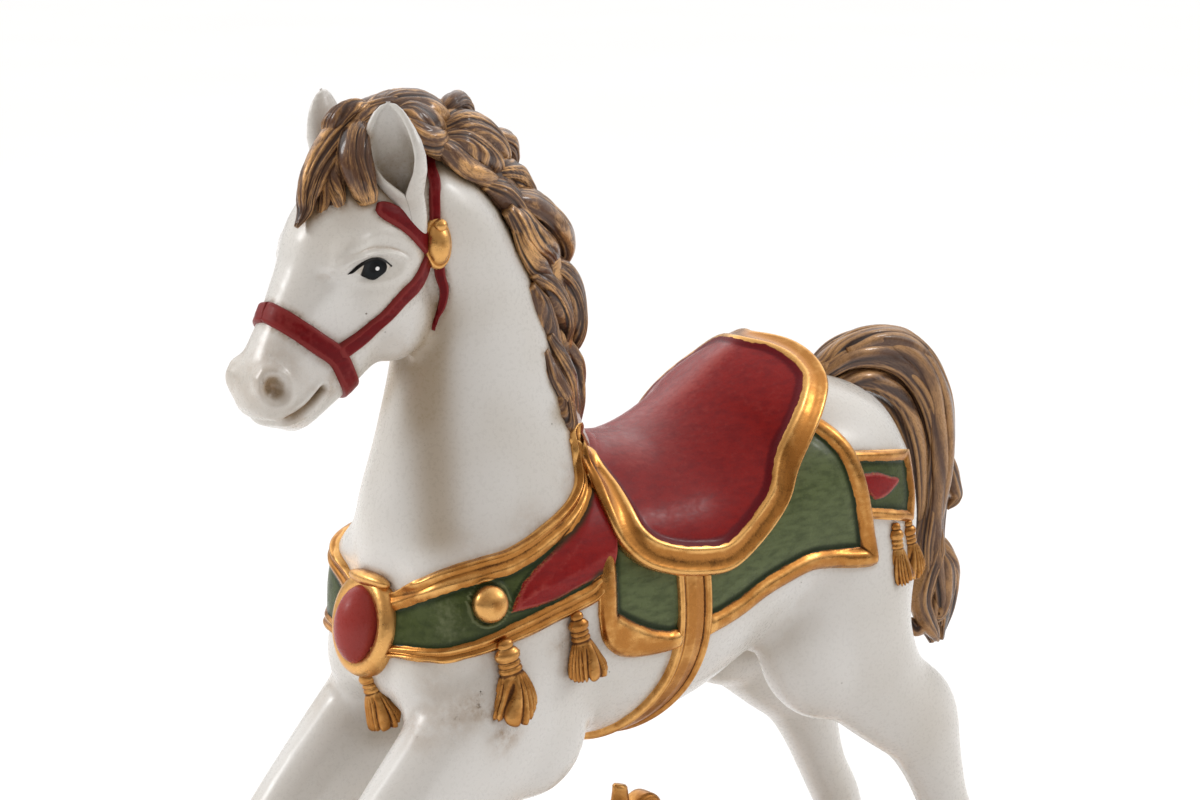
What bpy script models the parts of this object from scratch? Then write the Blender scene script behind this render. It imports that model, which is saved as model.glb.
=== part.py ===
"""A cast and painted rocking horse ornament: one horse figure and the rocker stand it is fixed to.

Lengths are in millimetres and turned into metres as each mesh is made. The horse faces +X and its
left side faces +Y. Its points are measured from SADDLE, a point inside the saddle, and the row's
origin is on the floor under the middle of the stand.
"""

import math

import bmesh
import bpy
import numpy as np
from mathutils import Vector
from mathutils.bvhtree import BVHTree

NAME = "rocking_horse_ornament"
MM = 0.001
SADDLE = np.array((7.6, 0.0, 232.0))  # where the horse's own zero stands over the stand's middle


# ---------------------------------------------------------------- mesh helpers


def start_clean():
    """Empties the scene and makes the two collections."""
    for obj in list(bpy.data.objects):
        bpy.data.objects.remove(obj)
    for name in (NAME, "forms"):
        bpy.context.scene.collection.children.link(bpy.data.collections.new(name))


def mesh_object(name, points, faces, at=SADDLE, into="forms"):
    """A closed mesh, faces outwards, from points in millimetres measured from `at`."""
    mesh = bpy.data.meshes.new(name)
    mesh.from_pydata([tuple(MM * (np.array(p, float) + at)) for p in points], [], faces)
    work = bmesh.new()
    work.from_mesh(mesh)
    bmesh.ops.recalc_face_normals(work, faces=work.faces)
    if work.calc_volume(signed=True) < 0:
        bmesh.ops.reverse_faces(work, faces=work.faces)
    work.to_mesh(mesh)
    work.free()
    obj = bpy.data.objects.new(name, mesh)
    bpy.data.collections[into].objects.link(obj)
    return obj


def spread(rows, count):
    """A smooth run of `count` rows through `rows`, evenly spaced along their first three columns."""
    rows = np.array(rows, float)
    ends = np.vstack([2 * rows[0] - rows[1], rows, 2 * rows[-1] - rows[-2]])
    steps = np.linalg.norm(np.diff(rows[:, :3], axis=0), axis=1)
    knots = np.concatenate([[0], np.cumsum(steps)])
    made = []
    for at in np.linspace(0, knots[-1], count):
        k = min(np.searchsorted(knots, at, side="right") - 1, len(rows) - 2)
        t = (at - knots[k]) / (knots[k + 1] - knots[k])
        a, b, c, d = ends[k : k + 4]
        bend = (2 * a - 5 * b + 4 * c - d) * t**2 + (3 * b - a - 3 * c + d) * t**3
        made.append(0.5 * (2 * b + (c - a) * t + bend))
    return np.array(made)


def skin(rings):
    """Points and faces of a closed tube through rings of equal length, with a fan over each end."""
    rings = np.array(rings, float)
    count, around = rings.shape[:2]
    points = list(rings.reshape(-1, 3)) + [rings[0].mean(axis=0), rings[-1].mean(axis=0)]
    faces = []
    for j in range(around):
        k = (j + 1) % around
        for i in range(count - 1):
            near, far = i * around, (i + 1) * around
            faces.append((near + j, near + k, far + k, far + j))
        last = (count - 1) * around
        faces.append((count * around, k, j))
        faces.append((count * around + 1, last + j, last + k))
    return points, faces


def oval(wide, up, down, power, around):
    """A section as side and height offsets: a superellipse with its own reach above and below."""
    turn = np.linspace(0, 2 * math.pi, around, endpoint=False)
    c, s = np.cos(turn), np.sin(turn)
    side = wide * np.sign(c) * np.abs(c) ** (2 / power)
    high = np.where(s >= 0, up, down) * np.sign(s) * np.abs(s) ** (2 / power)
    return side, high


def loft(name, stations, count=28, around=24, power=2.0, side=(0, 1, 0)):
    """A form along a path. A station is x, y, z, half width, reach in front and reach behind.

    `side` is the direction in which the width is measured; the reach in front is measured along
    side x path, so on a path that goes down with side +Y it points to +X.
    """
    rows = spread(stations, count)
    path = rows[:, :3]
    along = np.gradient(path, axis=0)
    along /= np.linalg.norm(along, axis=1)[:, None]
    rings = []
    for row, run in zip(rows, along):
        across = np.array(side, float) - run * (run @ np.array(side, float))
        across /= np.linalg.norm(across)
        wide, front, back = np.maximum(row[3:6], 0.4)
        s, h = oval(wide, front, back, power, around)
        rings.append(row[:3] + np.outer(s, across) + np.outer(h, np.cross(run, across)))
    return mesh_object(name, *skin(rings))


def egg(name, centre, radii, lean=0.0, around=20):
    """An ellipsoid, leant forward in the side view by `lean` degrees."""
    bm = bmesh.new()
    bmesh.ops.create_uvsphere(bm, u_segments=around, v_segments=around // 2, radius=1.0)
    c, s = math.cos(math.radians(lean)), math.sin(math.radians(lean))
    points = []
    for v in bm.verts:
        x, y, z = np.array(v.co) * radii
        points.append(np.array(centre) + (c * x + s * z, y, c * z - s * x))
    faces = [[v.index for v in f.verts] for f in bm.faces]
    bm.free()
    return mesh_object(name, points, faces)


def both_sides(make, name, points, *args, drift=0.0, **kwargs):
    """Makes the left form and its mirror image, moved forward by `drift`: `points` hold y second."""
    made = []
    for label, sign in (("left", 1), ("right", -1)):
        flipped = np.array(points, float)
        flipped[..., 1] *= sign
        flipped[..., 0] += drift if sign < 0 else 0
        made.append(make(f"{name}_{label}", flipped, *args, **kwargs))
    return made


def fuse(name, objects, voxel, smooth):
    """One skin over several overlapping forms, softened where they meet."""
    bpy.ops.object.select_all(action="DESELECT")
    for obj in objects:
        obj.select_set(True)
    bpy.context.view_layer.objects.active = objects[0]
    bpy.ops.object.join()
    obj = objects[0]
    obj.name = name
    remesh = obj.modifiers.new("skin", "REMESH")
    remesh.mode = "VOXEL"
    remesh.voxel_size = voxel * MM
    soft = obj.modifiers.new("soften", "SMOOTH")
    soft.factor = 0.5
    soft.iterations = smooth
    return bake(obj)


def bake(obj):
    """Applies an object's modifiers."""
    graph = bpy.context.evaluated_depsgraph_get()
    mesh = bpy.data.meshes.new_from_object(obj.evaluated_get(graph))
    obj.modifiers.clear()
    obj.data = mesh
    return obj


# ---------------------------------------------------------------- the horse's body


def trunk():
    """Barrel and hindquarters, from the buttocks to the breast."""
    #     x, top z, bottom z, half width
    rows = [
        (-118, -28, -58, 8),
        (-114, -16, -70, 18),
        (-106, -7, -78, 25),
        (-95, -1, -84, 30),
        (-80, 3, -87, 33.5),
        (-60, 0, -87, 34),
        (-35, -8, -90, 33.5),
        (-8, -10, -94, 34.5),
        (18, -9, -94, 34),
        (42, -10, -89, 33),
        (58, -15, -83, 32),
        (69, -23, -78, 30),
        (76, -33, -73, 26),
        (81, -38, -66, 17),
        (83, -45, -58, 7),
    ]
    stations = []
    for x, top, low, wide in rows:
        reach = (top - low) / 2
        stations.append((x, 0, low + reach, wide, reach, reach))
    return loft("trunk", stations, count=44, around=32, power=2.2)


def neck():
    """Neck, from inside the breast up to the poll."""
    #     x, z, half width, reach to the throat, reach to the crest
    rows = [
        (44, -48, 30, 36, 40),
        (44.5, -22, 26.5, 36, 39),
        (45.5, 0, 21.5, 29, 33),
        (47, 20, 18, 22.7, 26),
        (50, 40, 15.5, 17.5, 20.5),
        (58, 56, 14, 16, 17),
        (69, 66, 12, 13, 13),
    ]
    stations = [(x, 0, z, wide, back, front) for x, z, wide, front, back in rows]
    return loft("neck", stations, count=30, around=28)


HEAD_FROM = np.array((76.0, 0.0, 74.0))  # the poll
HEAD_RUN = np.array((0.616, 0.0, -0.788))  # from poll to muzzle
HEAD_FACE = np.array((0.788, 0.0, 0.616))  # out of the forehead


def head_point(run, out, side=0.0):
    """A point on the head from its distance down the face, out of the face and to the left."""
    return HEAD_FROM + run * HEAD_RUN + out * HEAD_FACE + np.array((0, side, 0))


def head():
    """The wedge of the head with its jowls, brows, nostrils and lips."""
    #     run, forehead line, jaw line, half width
    rows = [
        (0, 6, -14, 11),
        (8, 10, -22, 13.5),
        (17, 12, -27.5, 15),
        (25, 11.4, -30, 15),
        (34, 8.8, -30.5, 12.8),
        (43, 7, -29.5, 11.5),
        (52, 5.2, -27, 10.2),
        (60, 3.8, -24, 10.2),
        (67.5, 2, -21, 10.2),
        (73, -3, -17, 7.5),
    ]
    stations = []
    for run, out, jaw, wide in rows:
        reach = (out - jaw) / 2
        stations.append((*head_point(run, (out + jaw) / 2), wide, reach, reach))
    forms = [loft("skull", stations, count=36, around=28, power=2.3)]
    forms += both_sides(egg, "jowl", head_point(26, -14, 7.5), (15, 8.5, 13), lean=40)
    forms += both_sides(egg, "brow", head_point(26.5, 0, 10.5), (7.5, 5.5, 6), lean=50)
    forms += both_sides(egg, "nostril", head_point(65, -3, 5.6), (6, 5, 6), lean=50)
    forms.append(egg("lip", head_point(68.2, -9), (6.5, 8.5, 7.5), lean=50))
    forms.append(egg("chin", head_point(65.5, -17), (6.5, 7, 5.2), lean=50))
    return forms


def forelegs():
    """Both forelegs, stretched forward and down to the rockers."""
    #     x, y, z, half width, reach in front, reach behind
    left = [
        (36, 17, -40, 12, 20, 22),
        (46, 19.5, -57, 13.5, 22, 29),
        (60, 20.5, -72, 13.5, 20.5, 29),
        (80, 21, -89, 11.8, 15.5, 23),
        (99, 22, -107, 9.6, 12, 15.5),
        (113, 23, -123, 8.4, 9.8, 10.5),
        (119.5, 24, -133, 7.6, 9, 8.8),
        (125, 25, -146, 5.6, 6.4, 6.4),
        (129.5, 25.6, -158, 5.4, 6.2, 6.6),
        (133.5, 26.4, -167, 6.8, 7.4, 8),
        (137, 26.7, -174, 6.2, 7, 7),
        (141, 27, -181, 8.2, 9.2, 9),
        (145.5, 27, -193, 9.8, 11, 10.6),
    ]
    return both_sides(loft, "foreleg", left, drift=-5.0, count=44, around=20)


def hind_legs():
    """Both hind legs, stretched back and down to the rockers."""
    left = [
        (-80, 15, -34, 16, 34, 32),
        (-80, 19, -58, 16, 34, 33),
        (-82, 22, -78, 14.5, 30, 27),
        (-92, 24.5, -96, 12.5, 18, 16.5),
        (-104.5, 25.5, -110, 10.8, 14.5, 15),
        (-111.5, 26, -124, 8.6, 11, 11.5),
        (-118, 26, -140, 7.2, 8.6, 9),
        (-125, 26, -154, 7, 7.8, 9.8),
        (-132, 26.2, -166, 5.5, 6.3, 6.6),
        (-138.5, 26.5, -175, 6.5, 7.2, 7.6),
        (-143, 26.8, -181, 6.2, 7, 7),
        (-148, 27, -187, 8, 8.8, 9),
        (-154.5, 27, -197, 9.6, 10.6, 10.8),
    ]
    return both_sides(loft, "hind_leg", left, drift=2.5, count=44, around=20)


def muscles():
    """Shoulder, breast, elbow, stifle and haunch masses that swell the trunk."""
    forms = []
    forms += both_sides(egg, "shoulder", (54, 18, -50), (23, 13, 26), lean=20)
    forms += both_sides(egg, "breast", (67, 16, -62), (16, 14, 16), lean=-20)
    forms += both_sides(egg, "elbow", (40, 21, -84), (17, 11, 14), lean=45)
    forms += both_sides(egg, "haunch", (-84, 17, -42), (31, 17, 38), lean=8)
    forms += both_sides(egg, "stifle", (-67, 22.5, -81), (23, 12.5, 20), lean=-40)
    return forms


def ears():
    """The two pricked ears, their cups turned forward and out."""
    rows = [
        (73, 7.5, 64, 5, 4, 4),
        (76, 10, 71, 8, 3.6, 3.6),
        (79, 12, 78, 8.4, 2.6, 3.4),
        (81.5, 13.5, 85, 5.6, 1.8, 2.6),
        (83, 14.3, 91, 1.2, 0.8, 1),
    ]
    made = []
    for label, sign in (("left", 1), ("right", -1)):
        points = np.array(rows, float) * (1, sign, 1, 1, 1, 1)
        turned = (-0.72, 0.69, 0) if sign > 0 else (-0.9, -0.43, 0)
        if sign < 0:
            points[:, 2] += (0, 1, 2, 3, 3)  # the right ear stands a little taller
        made.append(loft(f"ear_{label}", points, count=16, around=18, side=turned))
    return made


def body(voxel=1.2):
    """The bare horse: heavy forms are softened well, head and ears only a little."""
    heavy = fuse("heavy", [trunk(), neck(), *forelegs(), *hind_legs(), *muscles()], voxel, 36)
    return fuse("body", [heavy, *head(), *ears()], voxel, 5)


# ---------------------------------------------------------------- laying tack on the body


class Skin:
    """The surface of a finished form, to lay straps and plates on."""

    def __init__(self, obj):
        points = [np.array(v.co) / MM - SADDLE for v in obj.data.vertices]
        faces = [list(f.vertices) for f in obj.data.polygons]
        self.tree = BVHTree.FromPolygons([Vector(p) for p in points], faces)

    def near(self, point):
        place, normal, _, _ = self.tree.find_nearest(Vector(point))
        return np.array(place), np.array(normal)

    def beside(self, x, z, sign):
        """The point seen straight from the side at x, z."""
        place, _, _, _ = self.tree.ray_cast(Vector((x, sign * 120, z)), Vector((0, -sign, 0)))
        return np.array(place)


def settle(grid, times):
    """Evens a grid of vectors by averaging each with its neighbours."""
    for _ in range(times):
        wide = np.pad(grid, ((1, 1), (1, 1), (0, 0)), mode="edge")
        grid = (grid + (wide[:-2, 1:-1] + wide[2:, 1:-1] + wide[1:-1, :-2] + wide[1:-1, 2:]) / 4) / 2
    return grid


def plate(name, skin_of, guide, height, sink=2.0):
    """A closed plate that follows the skin under a grid of guide points, `height` proud of it."""
    guide = np.array(guide, float)
    found = [[skin_of.near(p) for p in row] for row in guide]
    base = np.array([[place for place, _ in row] for row in found])
    out = settle(np.array([[normal for _, normal in row] for row in found]), 3)
    out /= np.linalg.norm(out, axis=2)[..., None]
    top = base + out * np.broadcast_to(height, guide.shape[:2])[..., None]
    under = base - out * sink
    return mesh_object(name, *slab(top, under))


def slab(top, under):
    """Points and faces of the closed solid between two grids of the same size."""
    rows, cols = top.shape[:2]
    size = rows * cols
    points = list(top.reshape(-1, 3)) + list(under.reshape(-1, 3))
    faces = []
    for i in range(rows - 1):
        for j in range(cols - 1):
            a = i * cols + j
            faces.append((a, a + 1, a + cols + 1, a + cols))
            faces.append((size + a, size + a + cols, size + a + cols + 1, size + a + 1))
    edge = list(range(cols))
    edge += [i * cols + cols - 1 for i in range(1, rows)]
    edge += [(rows - 1) * cols + j for j in range(cols - 2, -1, -1)]
    edge += [i * cols for i in range(rows - 2, 0, -1)]
    for a, b in zip(edge, edge[1:] + edge[:1]):
        faces.append((a, a + size, b + size, b))
    return points, faces


def four_sided(first, last, start, end, rows, cols):
    """A grid between four edge curves: `first` and `last` run along it, `start` and `end` across."""
    first, last = spread(first, rows), spread(last, rows)
    start, end = spread(start, cols), spread(end, cols)
    grid = np.zeros((rows, cols, 3))
    for i, u in enumerate(np.linspace(0, 1, rows)):
        for j, v in enumerate(np.linspace(0, 1, cols)):
            ruled = (1 - v) * first[i] + v * last[i] + (1 - u) * start[j] + u * end[j]
            near = (1 - v) * first[0] + v * last[0]
            far = (1 - v) * first[-1] + v * last[-1]
            grid[i, j] = ruled - (1 - u) * near - u * far
    return grid


# across a strap: offset and height shares
BEAD = [(-1, 0), (-0.75, 0.8), (0, 1), (0.75, 0.8), (1, 0)]


def strap(name, skin_of, path, width, height, count=24, sink=1.5):
    """A strap laid along a path on the skin."""
    line = np.array([skin_of.near(p)[0] for p in spread(path, count)])
    along = np.gradient(line, axis=0)
    along /= np.linalg.norm(along, axis=1)[:, None]
    normals = np.array([skin_of.near(p)[1] for p in line])
    across = np.cross(normals, along)
    across /= np.linalg.norm(across, axis=1)[:, None]
    offsets, heights = np.array(BEAD).T
    guide = line[:, None] + across[:, None] * (width / 2 * offsets)[None, :, None]
    return plate(name, skin_of, guide, height * heights[None, :], sink)


def beside_all(skin_of, points, sign):
    """Side-view x, z points dropped on the left (+1) or right (-1) of the skin."""
    return [skin_of.beside(x, z, sign) for x, z in points]


# ---------------------------------------------------------------- saddle, blanket and girth

# the blanket's four edges in the side view: x, z
BLANKET_TOP = [(27, -6), (8, -16), (-20, -18), (-40, -12), (-52, -7)]
BLANKET_LOW = [(25.7, -50), (21, -58), (13.6, -61.6), (0, -62.5), (-14.5, -62.5), (-24.2, -59.5)]
BLANKET_LOW += [(-39.7, -54.5), (-51.3, -52), (-67.3, -53.4), (-78, -53)]
BLANKET_FRONT = [(27, -6), (24, -22), (25.6, -36), (25.7, -50)]
BLANKET_BACK = [(-52, -7), (-63.1, -12), (-71.4, -24), (-75, -38), (-78, -53)]


def blanket(skin_of, sign, border_width=4.6):
    """One side of the saddle blanket: a thin field with a raised border."""
    edges = (BLANKET_TOP, BLANKET_LOW, BLANKET_FRONT, BLANKET_BACK)
    top, low, front, back = [beside_all(skin_of, edge, sign) for edge in edges]
    parts = [plate("blanket", skin_of, four_sided(top, low, front, back, 40, 16), 1.2)]
    middle = np.mean(top + low + front + back, axis=0)
    inset = []
    for p in front + low[1:] + back[::-1][1:]:
        inward = (middle - p) / np.linalg.norm(middle - p)
        inset.append(p + inward * border_width / 2)
    parts.append(strap("blanket_border", skin_of, inset, border_width, 2.3, count=70))
    return parts


# down the middle of the seat, from the pommel to the cantle
SEAT_LINE = [(31, 0, -7), (18, 0, -9), (5, 0, -10.5), (-8, 0, -10), (-22, 0, -7)]
SEAT_LINE += [(-35, 0, -0.8), (-46, 0, 7.5), (-56, 0, 13.5)]
# along the left edge of the seat, in the same direction
RIM = [
    (32, 6, -5),
    (34, 20, -5),
    (32.5, 31, -14),
    (28, 35, -26),
    (15, 37, -37),
    (0, 37.5, -42.5),
    (-17, 37.5, -42),
    (-36, 36.5, -25),
    (-47, 34, -13),
    (-58, 29, -3.5),
    (-63.5, 19, 7),
    (-61.5, 9, 11.5),
    (-58, 0, 13),
]


def saddle(skin_of, rows=44, cols=15):
    """The seat with its raised cantle, as one plate over the back."""
    line, rim = spread(SEAT_LINE, rows), spread(RIM, rows)
    height, sink = 1.8, 2.0  # least height over the skin, and depth under it
    halves = []
    for sign in (1, -1):
        half = []
        for middle, edge in zip(line, rim):
            turn = np.linspace(0, math.pi / 2, cols)
            x = middle[0] + (edge[0] - middle[0]) * np.sin(turn) ** 1.2
            y = sign * edge[1] * np.sin(turn)
            z = edge[2] + (middle[2] - edge[2]) * np.cos(turn)
            half.append(np.stack([x, y, z], axis=1))
        halves.append(np.array(half))
    top = np.concatenate([halves[1][:, :0:-1], halves[0]], axis=1)
    for row in top:
        for j, p in enumerate(row):
            place, normal = skin_of.near(p)
            lift = (p - place) @ normal
            if lift < height:
                row[j] = place + normal * height
    top = settle(top, 1)
    under = top.copy()
    for row in under:
        for j, p in enumerate(row):
            place, normal = skin_of.near(p)
            row[j] = place - normal * sink
    return mesh_object("saddle", *slab(top, under))


def girth(skin_of):
    """The strap under the belly that holds the saddle."""
    path = [(-4, 37, -41), (-3.5, 36, -60), (-2.5, 28, -78), (-1, 15, -90), (0, 0, -96)]
    path += [(x, -y, z) for x, y, z in path[-2::-1]]
    return strap("girth", skin_of, path, 12, 2.2, count=44, sink=2)


def crupper(skin_of, sign):
    """The short patch that runs back from the blanket over the haunch."""
    upper = [(-68, 31, -19), (-84, 29, -21), (-100, 24, -24)]
    lower = [(-75, 33, -40), (-88, 30, -43), (-100, 24, -46.5)]
    front = [upper[0], (-72, 32, -30), lower[0]]
    back = [upper[-1], (-101, 24, -35), lower[-1]]
    guide = four_sided(upper, lower, front, back, 12, 8)
    return plate("crupper", skin_of, guide * (1, sign, 1), 2.0)


# ---------------------------------------------------------------- collar

# the collar's two edges, from the medallion back and up to the withers
COLLAR_TOP = [(83, 6, -41), (79.5, 12, -38), (77, 18.6, -34), (70.6, 23.7, -31), (56.6, 27, -28.7)]
COLLAR_TOP += [(43.9, 27, -24.3), (34, 25, -20), (27.5, 22, -13), (27, 19, -3)]
COLLAR_LOW = [(83, 6, -58), (81.8, 13, -55.7), (76, 25.6, -55), (63.5, 31, -53.2), (50.2, 32.5, -50.8)]
COLLAR_LOW += [(36.5, 33, -47.7), (27, 33, -44), (23, 30, -30), (21, 20, -13)]


def collar(skin_of, sign, rows=36, cols=9):
    """One side of the breast collar, with a raised edge above and below."""
    upper = spread(COLLAR_TOP, rows) * (1, sign, 1)
    lower = spread(COLLAR_LOW, rows) * (1, sign, 1)
    share = np.linspace(0, 1, cols)[None, :, None]
    guide = upper[:, None] * (1 - share) + lower[:, None] * share
    parts = [plate("collar", skin_of, guide, 1.4)]
    inset = np.array((0, 0, 1.5))
    foremost = rows * 7 // 9  # the lower edge ends where the saddle blanket begins
    parts.append(strap("collar_top", skin_of, upper - inset, 3.4, 2.6, count=36))
    parts.append(strap("collar_low", skin_of, lower[:foremost] + inset, 3.4, 2.6, count=30))
    return parts


BOSS_AT = np.array((69.5, 31, -42))  # the stud on the collar


def stud(name, skin_of, at, radius, height):
    """A domed stud on the skin."""
    place, normal = skin_of.near(at)
    ring = np.linspace(0, 2 * math.pi, 16, endpoint=False)
    side = np.cross(normal, (0, 0, 1))
    side /= np.linalg.norm(side)
    up = np.cross(side, normal)
    circle = np.outer(np.cos(ring), side) + np.outer(np.sin(ring), up)
    rings = [place - normal * 1.5 + circle * radius]
    for share, lift in ((1, 0.3), (0.85, 0.7), (0.5, 0.93), (0.1, 1)):
        rings.append(place + normal * lift * height + circle * radius * share)
    return mesh_object(name, *skin(rings))


def medallion():
    """The oval boss on the breast: a ring with a domed stone in it."""
    ring = egg("medallion_ring", (81.5, 0, -50), (4.2, 12, 14.6), around=24)
    stone = egg("medallion_stone", (83, 0, -50.5), (6.5, 8.6, 11), around=24)
    return [ring, stone]


def tassel(name, top, end, radius):
    """A hanging tassel: knot, neck and flared skirt."""
    top, end = np.array(top, float), np.array(end, float)
    profile = [(0, 0.35), (0.1, 0.6), (0.2, 0.6), (0.28, 0.42)]
    profile += [(0.4, 0.62), (0.7, 0.95), (0.97, 1.05), (1, 0.8)]
    rows = [(*(top + (end - top) * t), r * radius, r * radius, r * radius) for t, r in profile]
    return loft(name, rows, count=16, around=12)


# the tassels on the left: top, end and radius
TASSELS = [
    ((60.5, 34, -50.5), (57, 33.5, -73), 5.8),
    ((33.5, 35.5, -49), (32, 34.5, -68), 5.2),
    ((-91.5, 29.5, -44), (-91, 28.5, -64), 4.4),
    ((-99.5, 26.5, -45), (-99.5, 25, -63), 4.0),
]


def tassels():
    """The tassel under the medallion and the pairs on the collar and the haunches."""
    made = [tassel("tassel_middle", (84.5, 0.5, -62), (77.5, 3, -81), 5.2)]
    for k, (top, end, radius) in enumerate(TASSELS):
        for turn in (np.array((1, 1, 1)), np.array((1, -1, 1))):
            made.append(tassel(f"tassel_{k}", top * turn, end * turn, radius))
    return made


# ---------------------------------------------------------------- bridle


# the bridle's straps on the left: width and path
BRIDLE = [
    (3.2, [(65, 12, 52), (64.9, 12.5, 60), (65.3, 10.7, 67.8), (61, 4, 74)]),  # crown
    (3.6, [(65, 12, 52), (72, 14, 45), (79.9, 15, 39.7), (87, 11.5, 32.2), (96.3, 10.4, 26.6)]),  # cheek
    (3.8, [(65, 12, 52), (75.9, 14.4, 57.5), (80.6, 14.3, 60.5), (84.9, 13, 64.6), (87, 8, 68)]),  # brow
    (2.8, [(65, 12, 52), (63.5, 10.6, 42), (63, 9.8, 34.4), (65.4, 7, 29.5)]),  # throat
    (4.4, [(112, 0, 38), (108.5, 7, 35.4), (96.3, 10.4, 26.6), (93.5, 9.2, 20.8), (88, 0, 15)]),  # nose
]
ROSETTE_AT = np.array((65.5, 12.5, 52))


def bridle(skin_of):
    """Flat straps round the nose, cheeks, brow and poll, and two rosettes."""
    made = []
    for turn in (np.array((1, 1, 1)), np.array((1, -1, 1))):
        for width, path in BRIDLE:
            made.append(strap("bridle", skin_of, np.array(path) * turn, width, 1.2, count=14))
        made.append(stud("rosette", skin_of, ROSETTE_AT * turn, 5.2, 3.4))
    return made


# ---------------------------------------------------------------- mane, forelock and tail

# the line of the neck's crest, from the poll to the withers
CREST = [(71, 0, 77), (60, 0, 76), (47, 0, 69), (37, 0, 58), (29, 0, 46)]
CREST += [(25, 0, 32), (21, 0, 19), (17, 0, 7), (12, 0, -5)]
LOCKS = 13


def lock(name, points, width, depth, count=14):
    """One tapering lock of hair along a path."""
    share = np.linspace(0, 1, len(points))
    full = np.sin(math.pi * np.clip(0.18 + 0.8 * share, 0, 1)) ** 0.7
    rows = [(*p, width * f, depth * f, depth * f) for p, f in zip(points, full)]
    return loft(name, rows, count=count, around=10)


def mane():
    """A swelling roll along the crest and locks that tumble over it to the right."""
    core = [(*(np.array(p) + (-4, -2, 1)), 8.5, 9, 7.5) for p in CREST]
    core[0] = (*core[0][:3], 5, 6, 6)
    core[-1] = (*core[-1][:3], 3.5, 4, 4)
    forms = [loft("mane_core", core, count=30, around=16)]
    line = spread(CREST, LOCKS * 4)
    for k in range(LOCKS):
        at = line[k * 4]
        run = line[k * 4 + 3] - at
        run /= np.linalg.norm(run)
        out = np.array((run[2], 0, -run[0]))
        sway = 2.5 * (-1) ** k
        left = np.linalg.norm(line[-1] - at) / 40  # what is left of the crest, in lock lengths
        size = min(1.0, 0.45 + left)
        over = [at + (0, 6, 0), at + out * 6.5 + run * 3]
        for up, down, right in ((7.5 + sway, 12, 4), (5 - sway, 22, 12), (1, 32, 18)):
            over.append(at + size * (out * up + run * down - (0, right, 0)))
        forms.append(lock(f"mane_lock_{k}", over, 6.5 * size, 4.5 * size))
    return forms


def forelock():
    """The locks that fall between the ears over the forehead."""
    falls = [
        ((62, 0, 82), (76, -1, 86), (87, -3, 79), (92.5, -4, 70), (96, -3, 59)),
        ((62, 3, 81), (78, 3, 84), (86, 3, 77), (91, 4, 68), (91, 6, 61)),
        ((64, 5, 79), (78, 7, 79), (85, 8, 72), (87, 10, 65), (86, 11.5, 61)),
        ((64, -4, 81), (76, -6, 82), (83, -9, 75), (87, -11, 66), (86, -12, 60)),
    ]
    return [lock(f"forelock_{k}", np.array(fall, float), 5, 4) for k, fall in enumerate(falls)]


# the tail, as stations of a loft
TAIL = [
    (-90, 0, -6, 6, 6, 6),
    (-103, 0, -1, 8, 8, 8),
    (-117, 0, -3, 9, 9.5, 10),
    (-128, 0, -13, 9.5, 11, 12),
    (-133, 0, -29, 9.5, 14, 14),
    (-134.5, 0, -46, 9, 14, 15),
    (-134, 0, -62, 8, 9, 11),
    (-136.5, 0, -76, 8, 11, 12),
    (-139, 0, -89, 6.5, 7, 10.5),
    (-139, 0, -102, 2.5, 3, 3),
]


# ---------------------------------------------------------------- the rocker stand

ROCK_RADIUS = 400.0  # of the rockers' undersides
FLAT_DEPTH = 0.8  # how much of that curve is worn flat in the middle
RAIL_DEPTH, RAIL_WIDTH, RAIL_OUT = 12.0, 11.0, 27.0
RAIL_REACH = 176.0  # from the middle to the volute's centre
VOLUTE_RADIUS = 9.5
BOARD_ANGLE = 0.235  # of the outer boards, along the rockers' curve in radians
BOARD_REACH = 40.0  # from the middle to a board's end
CENTRE_UP = ROCK_RADIUS - FLAT_DEPTH  # height of the rocking axis
CREST_TOP = 116.7
SOLE_GAP = 0.3  # between the hooves and the rails


def on_arc(angle, inward):
    """A point on the rocker's curve, `inward` millimetres above its underside."""
    radius = ROCK_RADIUS - inward
    return np.array((radius * math.sin(angle), 0.0, CENTRE_UP - radius * math.cos(angle)))


def rail(side):
    """One bow rocker with bevelled edges and a small flat spot under its middle."""
    reach = math.asin(RAIL_REACH / ROCK_RADIUS)
    flat = math.acos(CENTRE_UP / ROCK_RADIUS)
    right = np.linspace(flat, reach, 16)
    angles = [*-right[::-1], *right]
    half, bevel = RAIL_WIDTH / 2, 1.4
    corners = [(half - bevel, 0), (half, bevel), (half, RAIL_DEPTH - bevel), (half - bevel, RAIL_DEPTH)]
    corners += [(-y, up) for y, up in corners[::-1]]
    rings = []
    for angle in angles:
        ring = np.array([on_arc(angle, up) + (0, y, 0) for y, up in corners])
        ring[:, 2] = np.maximum(ring[:, 2], 0)
        rings.append(ring + (0, side * RAIL_OUT, 0))
    return mesh_object("rail", *skin(rings), at=0.0)


def disc(centre, radius, depth, around=16):
    """A round boss across the stand, its edges stepped in."""
    turn = np.linspace(0, 2 * math.pi, around, endpoint=False)
    circle = np.stack([np.cos(turn), 0 * turn, np.sin(turn)], axis=1)
    half = [(0.4, 0.5), (0.6, 0.38), (0.85, 0.5), (1, 0.4)]  # shares of the radius and the depth
    rings = []
    for share, out in half + [(share, -out) for share, out in half[::-1]]:
        rings.append(centre + circle * radius * share + (0, depth * out, 0))
    return mesh_object("volute", *skin(rings), at=0.0)


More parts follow.
